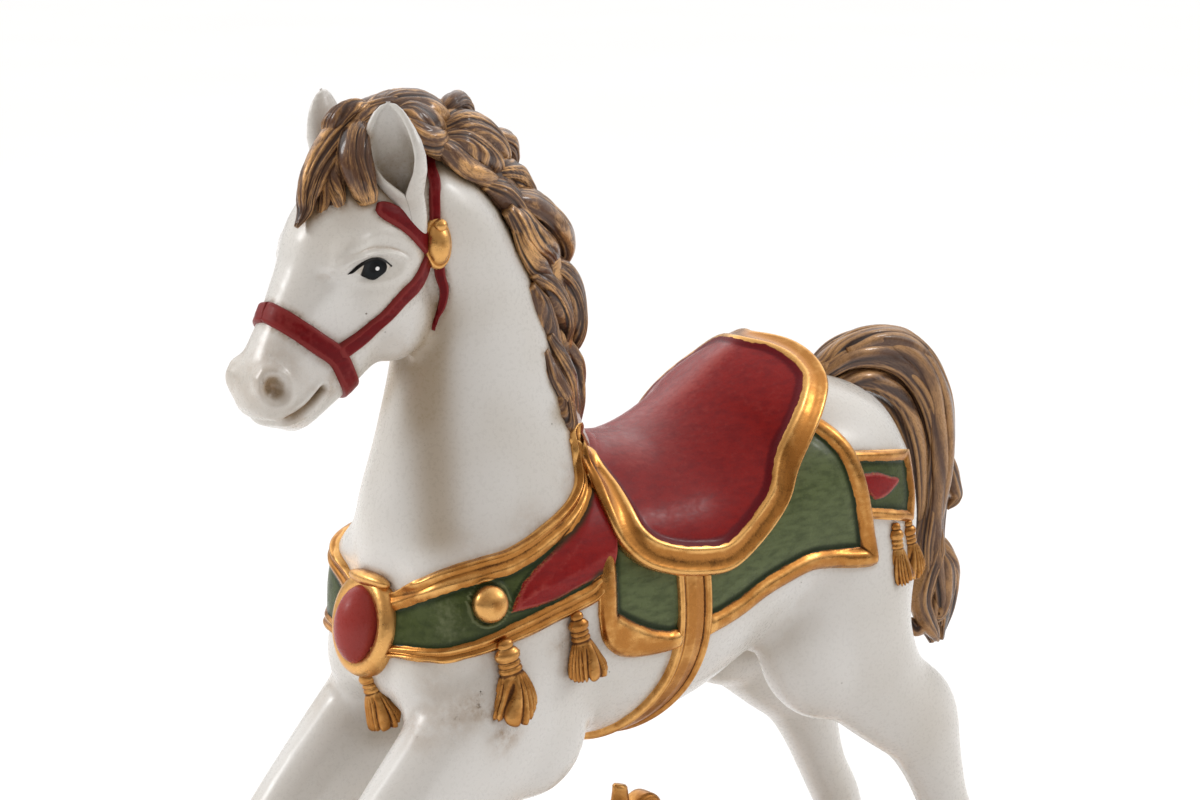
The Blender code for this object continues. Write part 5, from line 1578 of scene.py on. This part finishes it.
tack = [
    saddle_piece, *blankets, *collars, *cruppers, girth, bridle, *studs, *rosettes, medal_ring, medal_stone,
]
hair = [mane, forelock, tail]
for piece in [body, *ears, *tack, tassel_piece, *hair, rocker_rails, cross_boards, stand_crest, hooves]:
    note_hollows(piece)
for piece in [body, *ears]:
    note_grime(piece)
note_stain(body, [*tack, tassel_piece, *hair, *ears, hooves], 3.2)
for piece in ears:
    note_stain(piece, [forelock, mane], 3.0)
note_shade(body, [*hair, *ears])
print("hollows, stain and shade noted")

# %% [markdown]
# ## Paint
# All paints share one idea: a base colour, a little unevenness from noise, a second colour where a stored
# number says so, and a fine bump. The helper class below adds nodes and joins them up in one line each.

# %% A short way to write node trees
class Nodes:
    """A node tree, built up call by call."""

    def __init__(self, tree, place):
        self.tree = tree
        self.place = tree.nodes.new("ShaderNodeTexCoord").outputs[place]

    def put(self, socket, value):
        """Gives a socket a number, a colour or another node's output."""
        if isinstance(value, bpy.types.NodeSocket):
            self.tree.links.new(value, socket)
        else:
            socket.default_value = (*value, 1) if socket.type == "RGBA" else value

    def noise(self, size, detail=3.0, stretch=(1, 1, 1), rough=0.55, where=None):
        """Noise whose lumps are about `size` millimetres."""
        node = self.tree.nodes.new("ShaderNodeTexNoise")
        node.inputs["Scale"].default_value = 1 / (size * MM)
        node.inputs["Detail"].default_value = detail
        node.inputs["Roughness"].default_value = rough
        self.put(node.inputs["Vector"], self.scaled(where or self.place, stretch))
        return node.outputs["Fac"]

    def scaled(self, vector, stretch):
        node = self.tree.nodes.new("ShaderNodeVectorMath")
        node.operation = "MULTIPLY"
        self.put(node.inputs[0], vector)
        node.inputs[1].default_value = stretch
        return node.outputs[0]

    def read(self, name):
        """A number stored on the mesh."""
        node = self.tree.nodes.new("ShaderNodeAttribute")
        node.attribute_name = name
        return node.outputs["Fac"]

    def math(self, operation, a, b=0.0):
        """A sum with one or two numbers."""
        node = self.tree.nodes.new("ShaderNodeMath")
        node.operation = operation
        self.put(node.inputs[0], a)
        self.put(node.inputs[1], b)
        return node.outputs[0]

    def plus(self, a, b):
        return self.math("ADD", a, b)

    def times(self, a, b):
        return self.math("MULTIPLY", a, b)

    def swing(self, value, amount):
        """How far a noise is from its middle, times an amount."""
        return self.times(self.math("SUBTRACT", value, 0.5), amount)

    def step(self, value, low, high, start=0.0, stop=1.0):
        """A soft step from start to stop as the value goes from low to high."""
        node = self.tree.nodes.new("ShaderNodeMapRange")
        node.interpolation_type = "SMOOTHSTEP"
        for key, number in zip(("From Min", "From Max", "To Min", "To Max"), (low, high, start, stop)):
            node.inputs[key].default_value = number
        self.put(node.inputs["Value"], value)
        return node.outputs["Result"]

    def mix(self, share, first, second):
        """The first colour, and the second where share is 1."""
        node = self.tree.nodes.new("ShaderNodeMix")
        node.data_type = "RGBA"
        self.put(node.inputs[0], share)
        self.put(node.inputs[6], first)
        self.put(node.inputs[7], second)
        return node.outputs[2]

    def specks(self, apart, radius):
        """1 in small round specks, about one in each `apart` millimetres."""
        node = self.tree.nodes.new("ShaderNodeTexVoronoi")
        node.inputs["Scale"].default_value = 1 / (apart * MM)
        self.put(node.inputs["Vector"], self.place)
        rare = self.math("GREATER_THAN", self.noise(apart * 1.7, 0.0), 0.52)
        size = radius / apart
        return self.times(self.step(node.outputs["Distance"], 0.6 * size, size, 1.0, 0.0), rare)

    def combed(self):
        """The place along and round a lock of hair."""
        node = self.tree.nodes.new("ShaderNodeCombineXYZ")
        for socket, name in zip(node.inputs, ("comb_x", "comb_y", "comb_z")):
            self.put(socket, self.read(name))
        return node.outputs[0]


class Paint(Nodes):
    """A material, with the sockets of its shader to fill."""

    def __init__(self, name, roughness, metallic=0.0, coat=0.0):
        self.material = bpy.data.materials.new(name)
        self.material.use_nodes = True
        super().__init__(self.material.node_tree, "Object")
        self.shader = self.tree.nodes["Principled BSDF"]
        self.shader.inputs["Roughness"].default_value = roughness
        self.shader.inputs["Metallic"].default_value = metallic
        self.shader.inputs["Coat Weight"].default_value = coat
        self.shader.inputs["Coat Roughness"].default_value = 0.25

    def bump(self, height, depth, before=None):
        """Roughens the surface by a height, at most `depth` millimetres."""
        node = self.tree.nodes.new("ShaderNodeBump")
        node.inputs["Distance"].default_value = depth * MM
        node.inputs["Strength"].default_value = 1.0
        self.put(node.inputs["Height"], height)
        if before is not None:
            self.put(node.inputs["Normal"], before)
        self.put(self.shader.inputs["Normal"], node.outputs["Normal"])
        return node.outputs["Normal"]

    def colour(self, value):
        self.put(self.shader.inputs["Base Color"], value)


# %% [markdown]
# ### Ivory enamel
# The body is ivory, not white. Brown stain lies in creases, along the tack and in the ears, and it is
# patchy. A broad brown painted shade lies where the body is shut in. A few pinholes and specks show where
# air bubbles came up in the mould.

# %% Ivory
IVORY, IVORY_WARM = (0.665, 0.652, 0.625), (0.61, 0.585, 0.54)
# The first colour on the next line is a painted shade, a thin brown laid where the body is shut in.
SHADE_BROWN, STAIN, STAIN_DARK = (0.36, 0.285, 0.195), (0.29, 0.185, 0.095), (0.09, 0.05, 0.022)
INSIDE = (0.22, 0.165, 0.105)  # in the nostrils, the mouth and the ears


def ivory(name, reach=1.0):
    """The enamel of body and ears; `reach` says how strongly the stain lies in their creases."""
    p = Paint(name, 0.3, coat=0.3)
    cloud = p.noise(34, 1.0)
    patch = p.noise(5.5, 5.0, rough=0.7)
    fine = p.noise(1.1, 4.0, rough=0.7)
    base = p.mix(p.step(cloud, 0.35, 0.7), IVORY, IVORY_WARM)
    # painted shade: brown where the body is shut in, read from the stored shade
    base = p.mix(p.step(p.read("shade"), 0.06, 0.78, 0.0, 0.92), base, SHADE_BROWN)
    base = p.mix(p.times(p.read("inside"), p.step(patch, 0.25, 0.7, 0.6, 1.0)), base, INSIDE)
    hollow, stain, grime = p.read("hollow"), p.read("stain"), p.read("grime")
    crease = p.plus(p.step(hollow, 0.12, 0.95, 0.0, 0.85), p.step(stain, 0.35, 1.0, 0.0, 0.55))
    patchy = p.times(crease, p.step(patch, 0.32, 0.68, 0.25, 1.3))
    dirt = p.times(grime, p.step(p.plus(patch, p.times(fine, 0.4)), 0.5, 0.9, 0.12, 0.8))
    base = p.mix(dirt, base, STAIN)
    soft = p.mix(p.times(patchy, reach), base, STAIN)
    rubbed = p.noise(1.6, 4.0, rough=0.8, stretch=(1, 1, 0.5))
    scratch = p.times(p.step(grime, 0.3, 0.9), p.step(rubbed, 0.58, 0.66))
    soft = p.mix(p.times(scratch, 0.6), soft, STAIN_DARK)
    line = p.times(p.step(stain, 0.72, 0.98), p.step(fine, 0.42, 0.62))
    hard = p.mix(p.times(line, 0.75), soft, STAIN_DARK)
    speck = p.specks(9.0, 0.28)
    p.colour(p.mix(p.times(speck, 0.7), hard, STAIN_DARK))
    p.put(p.shader.inputs["Roughness"], p.step(fine, 0.3, 0.7, 0.25, 0.33))
    rough = p.bump(p.noise(6.0, 1.0), 0.06)
    p.bump(p.times(speck, -1.0), 0.25, rough)
    return p.material


# %% [markdown]
# ### Red, green and gold
# One paint serves all tack. It starts with the field's colour, changes to red inside the tongue or leaf,
# and to gold where `gilt` is above zero. Noise added to `gilt` makes the hand-painted edge wander. The gold
# is metallic with a brown stain in its hollows and a painted highlight on its ridges. The field is worn
# lighter where it stands up, and a painted shade darkens its hollows and the strip beside the gold.

# %% Tack paint
# The deep colours serve brush streaks and, in the hollows, a painted shade.
RED, RED_DEEP, RED_WORN = (0.245, 0.012, 0.011), (0.120, 0.006, 0.010), (0.33, 0.050, 0.042)
GREEN, GREEN_DEEP, GREEN_WORN = (0.062, 0.080, 0.026), (0.015, 0.024, 0.007), (0.14, 0.16, 0.08)
GOLD, GOLD_LIGHT, GOLD_BROWN = (0.385, 0.162, 0.038), (0.76, 0.42, 0.14), (0.070, 0.026, 0.009)


def field_colour(p, base, deep, worn):
    """One painted field: darker in its hollows as painted shade, worn on its ridges, with brush streaks."""
    streak = p.noise(2.6, 4.0, stretch=(0.5, 1, 1.6))
    hollow = p.read("hollow")
    colour = p.mix(p.step(streak, 0.35, 0.75, 0.0, 0.5), base, deep)
    # painted shade: the field turns to its deep colour in the hollows
    colour = p.mix(p.step(hollow, 0.1, 0.8, 0.0, 0.9), colour, deep)
    ridge = p.plus(p.times(hollow, -1.0), p.times(p.noise(1.4, 5.0), 0.9))
    return p.mix(p.step(ridge, 0.62, 1.15, 0.0, 0.8), colour, worn)


def gold_colour(p, ridge=None):
    """Antique gold: a painted highlight on the ridges, brown in the hollows, in soft brush strokes."""
    brush = p.noise(1.6, 5.0, stretch=(0.45, 1, 1))
    fleck = p.noise(0.7, 5.0, rough=0.75)
    height = p.times(p.read("hollow"), -1.0) if ridge is None else ridge
    wash = p.noise(7.0, 3.0)
    # painted highlight: the gold is lighter on the ridges, mixed with the brush's own uneven tone
    lit = p.plus(height, p.swing(brush, 0.9))
    lit = p.plus(lit, p.swing(wash, 1.6))
    colour = p.mix(p.step(lit, 0.0, 1.0, 0.0, 0.85), GOLD, GOLD_LIGHT)
    dirt = p.plus(p.read("hollow"), p.swing(fleck, 0.9))
    dirt = p.math("SUBTRACT", dirt, p.swing(wash, 1.2))
    return p.mix(p.step(dirt, 0.18, 0.75, 0.0, 0.92), colour, GOLD_BROWN)


def tack_paint(name, base, deep, worn, ruby=False):
    """A painted field with gilt edges, and with a red tongue or leaf on it where `ruby` is true."""
    p = Paint(name, 0.3)
    p.shader.inputs["Specular IOR Level"].default_value = 0.13
    colour = field_colour(p, base, deep, worn)
    wander = p.swing(p.noise(3.6, 2.0), 1.1)
    if ruby:
        edge = p.plus(p.read("ruby"), wander)
        colour = p.mix(p.step(edge, 0.0, 0.12), colour, field_colour(p, RED, RED_DEEP, RED_WORN))
        rim = p.times(p.step(edge, -0.1, 0.1), p.step(edge, 0.45, 0.9, 1.0, 0.0))
        flecks = p.step(p.noise(0.55, 4.0, rough=0.8), 0.52, 0.6)
        colour = p.mix(p.times(p.times(rim, flecks), 0.85), colour, GOLD)
    inward = p.plus(p.read("gilt"), wander)
    # painted shadow: the field darkens in a strip beside the raised gold border
    shade_beside_gilt = p.step(inward, -2.4, -0.4, 0.0, 0.85)
    colour = p.mix(shade_beside_gilt, colour, deep)
    gilt = p.step(inward, -0.06, 0.06)
    p.colour(p.mix(gilt, colour, gold_colour(p)))
    p.put(p.shader.inputs["Metallic"], p.times(gilt, 0.93))
    p.put(p.shader.inputs["Roughness"], p.step(p.noise(2.4, 3.0), 0.3, 0.7, 0.22, 0.34))
    p.bump(p.noise(2.4, 2.0, stretch=(0.5, 1, 1)), 0.06)
    return p.material


def gold_paint(name, carved=False):
    """Gold all over; where the piece is carved, its stored ridges are lit and its valleys browned."""
    p = Paint(name, 0.33, metallic=0.93)
    ridge = p.step(p.read("ridge"), 0.35, 0.95, -0.6, 0.35) if carved else None
    colour = gold_colour(p, ridge)
    if carved:
        valley = p.plus(p.read("ridge"), p.times(p.noise(0.9, 4.0), 0.5))
        colour = p.mix(p.step(valley, 0.45, 0.85, 0.9, 0.0), colour, GOLD_BROWN)
    p.colour(colour)
    p.put(p.shader.inputs["Roughness"], p.step(p.noise(1.0, 4.0), 0.3, 0.7, 0.26, 0.40))
    p.bump(p.noise(1.6, 3.0), 0.10)
    return p.material


def plain_paint(name, base, deep, worn, roughness, shine=0.2):
    """A single enamel with no gold in it."""
    p = Paint(name, roughness)
    p.shader.inputs["Specular IOR Level"].default_value = shine
    p.colour(field_colour(p, base, deep, worn))
    gloss = p.step(p.noise(1.2, 4.0), 0.3, 0.7, roughness - 0.06, roughness + 0.08)
    p.put(p.shader.inputs["Roughness"], gloss)
    p.bump(p.noise(1.0, 4.0), 0.08)
    return p.material


# %% [markdown]
# ### Brown hair brushed with gold
# The hair was painted brown, then a nearly dry brush of gold was dragged over it, which caught only the
# ridges. So gold follows the stored `ridge`, broken up by noise that is long and thin along the strands.
# The brown is darker in the valleys between strands and in the hollows, as painted shade.

# %% Hair paint
HAIR, HAIR_DEEP, HAIR_GOLD = (0.112, 0.056, 0.033), (0.027, 0.013, 0.008), (0.60, 0.33, 0.13)


def hair_paint(name, gold, shares):
    """Brown, with `gold` brushed over it at most. `shares` weigh how far ridge, streak, patch and fleck
    decide where the dry brush caught."""
    p = Paint(name, 0.3, coat=0.5)
    p.shader.inputs["Coat Roughness"].default_value = 0.1
    p.shader.inputs["Specular IOR Level"].default_value = 0.1
    comb = p.combed()
    patch = p.noise(9.0, 3.0)
    fleck = p.noise(0.4, 4.0, rough=0.85, where=comb)
    streak = p.noise(2.3, 3.0, where=comb)
    ridge, hollow = p.read("ridge"), p.read("hollow")
    # painted shade: deep brown in the valleys between strands and in the hollows
    base = p.mix(p.step(ridge, 0.15, 0.7), HAIR_DEEP, HAIR)
    base = p.mix(p.step(hollow, 0.1, 0.9, 0.0, 0.7), base, HAIR_DEEP)
    caught = p.times(hollow, -0.5)
    for source, share in zip((ridge, streak, patch, fleck), shares):
        caught = p.plus(caught, p.swing(source, share))
    dry = p.step(caught, 0.0, 1.0, 0.0, gold)
    p.colour(p.mix(dry, base, HAIR_GOLD))
    p.put(p.shader.inputs["Metallic"], p.times(dry, 0.75))
    p.put(p.shader.inputs["Roughness"], p.step(fleck, 0.3, 0.7, 0.2, 0.38))
    p.bump(p.plus(streak, p.times(fleck, 0.35)), 0.5)
    return p.material


# %% [markdown]
# ### Eye paint
# A black disc for the iris, a white dot of light painted on it, and a black line along the upper lid.
# Each is a soft step on a distance, so the edges are crisp at any size.

# %% Eye paint
def eye_paint():
    """White, iris, pupil, lash line and the dot of light, one over the other."""
    p = Paint("eye_enamel", 0.3)
    p.shader.inputs["Specular IOR Level"].default_value = 0.12
    x, z = p.read("eye_x"), p.read("eye_z")

    def disc(cx, cz, radius, soft=0.12):
        """1 inside a disc a little wider than tall, `soft` millimetres sharp."""
        dx, dz = p.times(p.math("SUBTRACT", x, cx), 0.87), p.math("SUBTRACT", z, cz)
        far = p.math("SQRT", p.plus(p.times(dx, dx), p.times(dz, dz)))
        return p.step(far, radius - soft, radius + soft, 1.0, 0.0)

    white = p.mix(p.step(p.noise(1.5), 0.4, 0.7), (0.58, 0.55, 0.50), (0.45, 0.40, 0.34))
    colour = p.mix(disc(0, 0.3, 3.3), white, (0.006, 0.006, 0.007))
    colour = p.mix(disc(0, 0.1, 2.3, 0.6), colour, (0.008, 0.010, 0.012))
    colour = p.mix(disc(0, 0.5, 1.4, 0.3), colour, (0.003, 0.003, 0.004))
    colour = p.mix(p.step(p.read("lid"), 0.6, 0.9, 1.0, 0.0), colour, (0.008, 0.007, 0.007))
    colour = p.mix(disc(-0.95, 0.1, 0.5, 0.1), colour, (0.85, 0.85, 0.85))
    p.colour(colour)
    p.bump(p.noise(1.0), 0.03)
    return p.material


# %% [markdown]
# ### Painting every piece
# Each piece gets its paint, is hung under the body it rides on, and hides the imported node it stands for.
# Nothing on this ornament moves, so there is only one body.

# %% Painting every piece
def dress(piece, material, stands_for="horse"):
    """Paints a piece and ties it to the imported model."""
    piece.data.materials.clear()
    piece.data.materials.append(material)
    piece.data.shade_smooth()
    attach(piece, "root")
    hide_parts(stands_for)


gold_cast, gold_carved = gold_paint("antique_gold"), gold_paint("antique_gold_carved", carved=True)
red_enamel = plain_paint("red_enamel", RED, RED_DEEP, RED_WORN, 0.3)
BRIDLE_RED, BRIDLE_DEEP, BRIDLE_WORN = (0.142, 0.004, 0.006), (0.07, 0.005, 0.007), (0.22, 0.03, 0.028)
bridle_red = plain_paint("bridle_red", BRIDLE_RED, BRIDLE_DEEP, BRIDLE_WORN, 0.34, 0.1)
dress(body, ivory("ivory_enamel"))
for piece in ears:
    dress(piece, ivory("ivory_enamel_ear", 1.2))
dress(saddle_piece, tack_paint("saddle_enamel", RED, RED_DEEP, RED_WORN))
BLANKET_GREEN = (0.108, 0.135, 0.058)
green_tack = tack_paint("green_tack", BLANKET_GREEN, GREEN_DEEP, GREEN_WORN)
green_red_tack = tack_paint("green_red_tack", GREEN, GREEN_DEEP, GREEN_WORN, ruby=True)
for piece in blankets:
    dress(piece, green_tack)
for piece in collars + cruppers:
    dress(piece, green_red_tack)
for piece in [girth, *studs, *rosettes, medal_ring]:
    dress(piece, gold_cast)
dress(tassel_piece, gold_carved)
dress(medal_stone, red_enamel)
dress(bridle, bridle_red)
hair_brown = hair_paint("hair_brown", 1.0, (0.5, 1.2, 2.0, 1.9))
for piece in (mane, forelock):
    dress(piece, hair_brown)
dress(tail, hair_paint("tail_brown", 0.6, (1.1, 1.1, 0.9, 0.8)))
dress(eyes, eye_paint())
dress(hooves, plain_paint("hoof_brown", HAIR, HAIR_DEEP, HAIR_GOLD, 0.36))
dress(rocker_rails, tack_paint("rail_enamel", RED, RED_DEEP, RED_WORN), "rocker_stand")
dress(cross_boards, tack_paint("board_enamel", GREEN, GREEN_DEEP, GREEN_WORN), "rocker_stand")
dress(stand_crest, gold_carved, "rocker_stand")
print("painted")

# %% [markdown]
# ## Floor, light and camera
# A broad pale floor under a bright surround, which dims towards the horizon and towards the camera's side,
# so that gloss and gold have something dark to mirror, and a soft lamp on either hand. The camera stands in
# front and to the left of the horse, a little above it, with a long lens.

# %% Studio
FRONT = (0.64, 0.77, 0.0)  # towards the camera
SKY_WARM, LAMPS_AIM = (1.0, 0.86, 0.74), (0.0, 0.0, 0.2)
LAMPS = {"right": ((-0.95, 0.7, 0.9), 0.2, 2.4), "left": ((1.0, -0.6, 0.95), 0.36, 4.9)}  # place, size, watts


def studio():
    """The floor, the surround and two lamps."""
    bpy.ops.mesh.primitive_plane_add(size=24, location=(0, 0, -0.0001))
    floor = bpy.context.object
    floor.name = "floor"
    p = Paint("floor_paper", 0.9)
    p.colour(p.mix(p.step(p.noise(400, 1.0), 0.3, 0.7), (0.93, 0.93, 0.935), (0.94, 0.94, 0.945)))
    floor.data.materials.append(p.material)
    world = bpy.data.worlds.new("studio")
    bpy.context.scene.world = world
    world.use_nodes = True
    sky = Nodes(world.node_tree, "Generated")

    def along(direction, *ramp):
        """A soft step over directions, by how far each leans towards the given one."""
        lean = sky.tree.nodes.new("ShaderNodeVectorMath")
        lean.operation = "DOT_PRODUCT"
        sky.put(lean.inputs[0], sky.place)
        lean.inputs[1].default_value = direction
        return sky.step(lean.outputs["Value"], *ramp)

    up = (0, 0, 1)
    overhead = sky.times(along(up, 0.0, 0.5, 0.28, 1.62), along(up, 0.6, 1.0, 1.0, 0.55))
    light = sky.tree.nodes["Background"].inputs
    sky.put(light["Strength"], sky.times(overhead, along(FRONT, -0.3, 0.85, 1.15, 0.28)))
    sky.put(light["Color"], sky.mix(along(FRONT, 0.0, 0.8), (1, 1, 1), SKY_WARM))
    for name, (spot, size, power) in LAMPS.items():
        lamp = bpy.data.lights.new(name, "AREA")
        lamp.size, lamp.energy = size, power
        obj = bpy.data.objects.new(name, lamp)
        bpy.context.scene.collection.objects.link(obj)
        obj.location = spot
        obj.rotation_euler = (Vector(spot) - Vector(LAMPS_AIM)).to_track_quat("Z", "Y").to_euler()


def camera(azimuth=140, elevation=12, distance=0.8):
    """A long lens aimed at the saddle."""
    a, e = math.radians(azimuth), math.radians(elevation)
    back = Vector((math.sin(a) * math.cos(e), -math.cos(a) * math.cos(e), math.sin(e)))
    data = bpy.data.cameras.new("camera")
    data.lens, data.sensor_width = 85, 36
    data.clip_start, data.clip_end = 0.01, 50
    obj = bpy.data.objects.new("camera", data)
    bpy.context.scene.collection.objects.link(obj)
    obj.location = Vector(SADDLE * MM) + back * distance
    obj.rotation_euler = back.to_track_quat("Z", "Y").to_euler()
    bpy.context.scene.camera = obj


studio()
camera()
bpy.context.scene.view_settings.view_transform = "Standard"
print("floor, light and camera made")
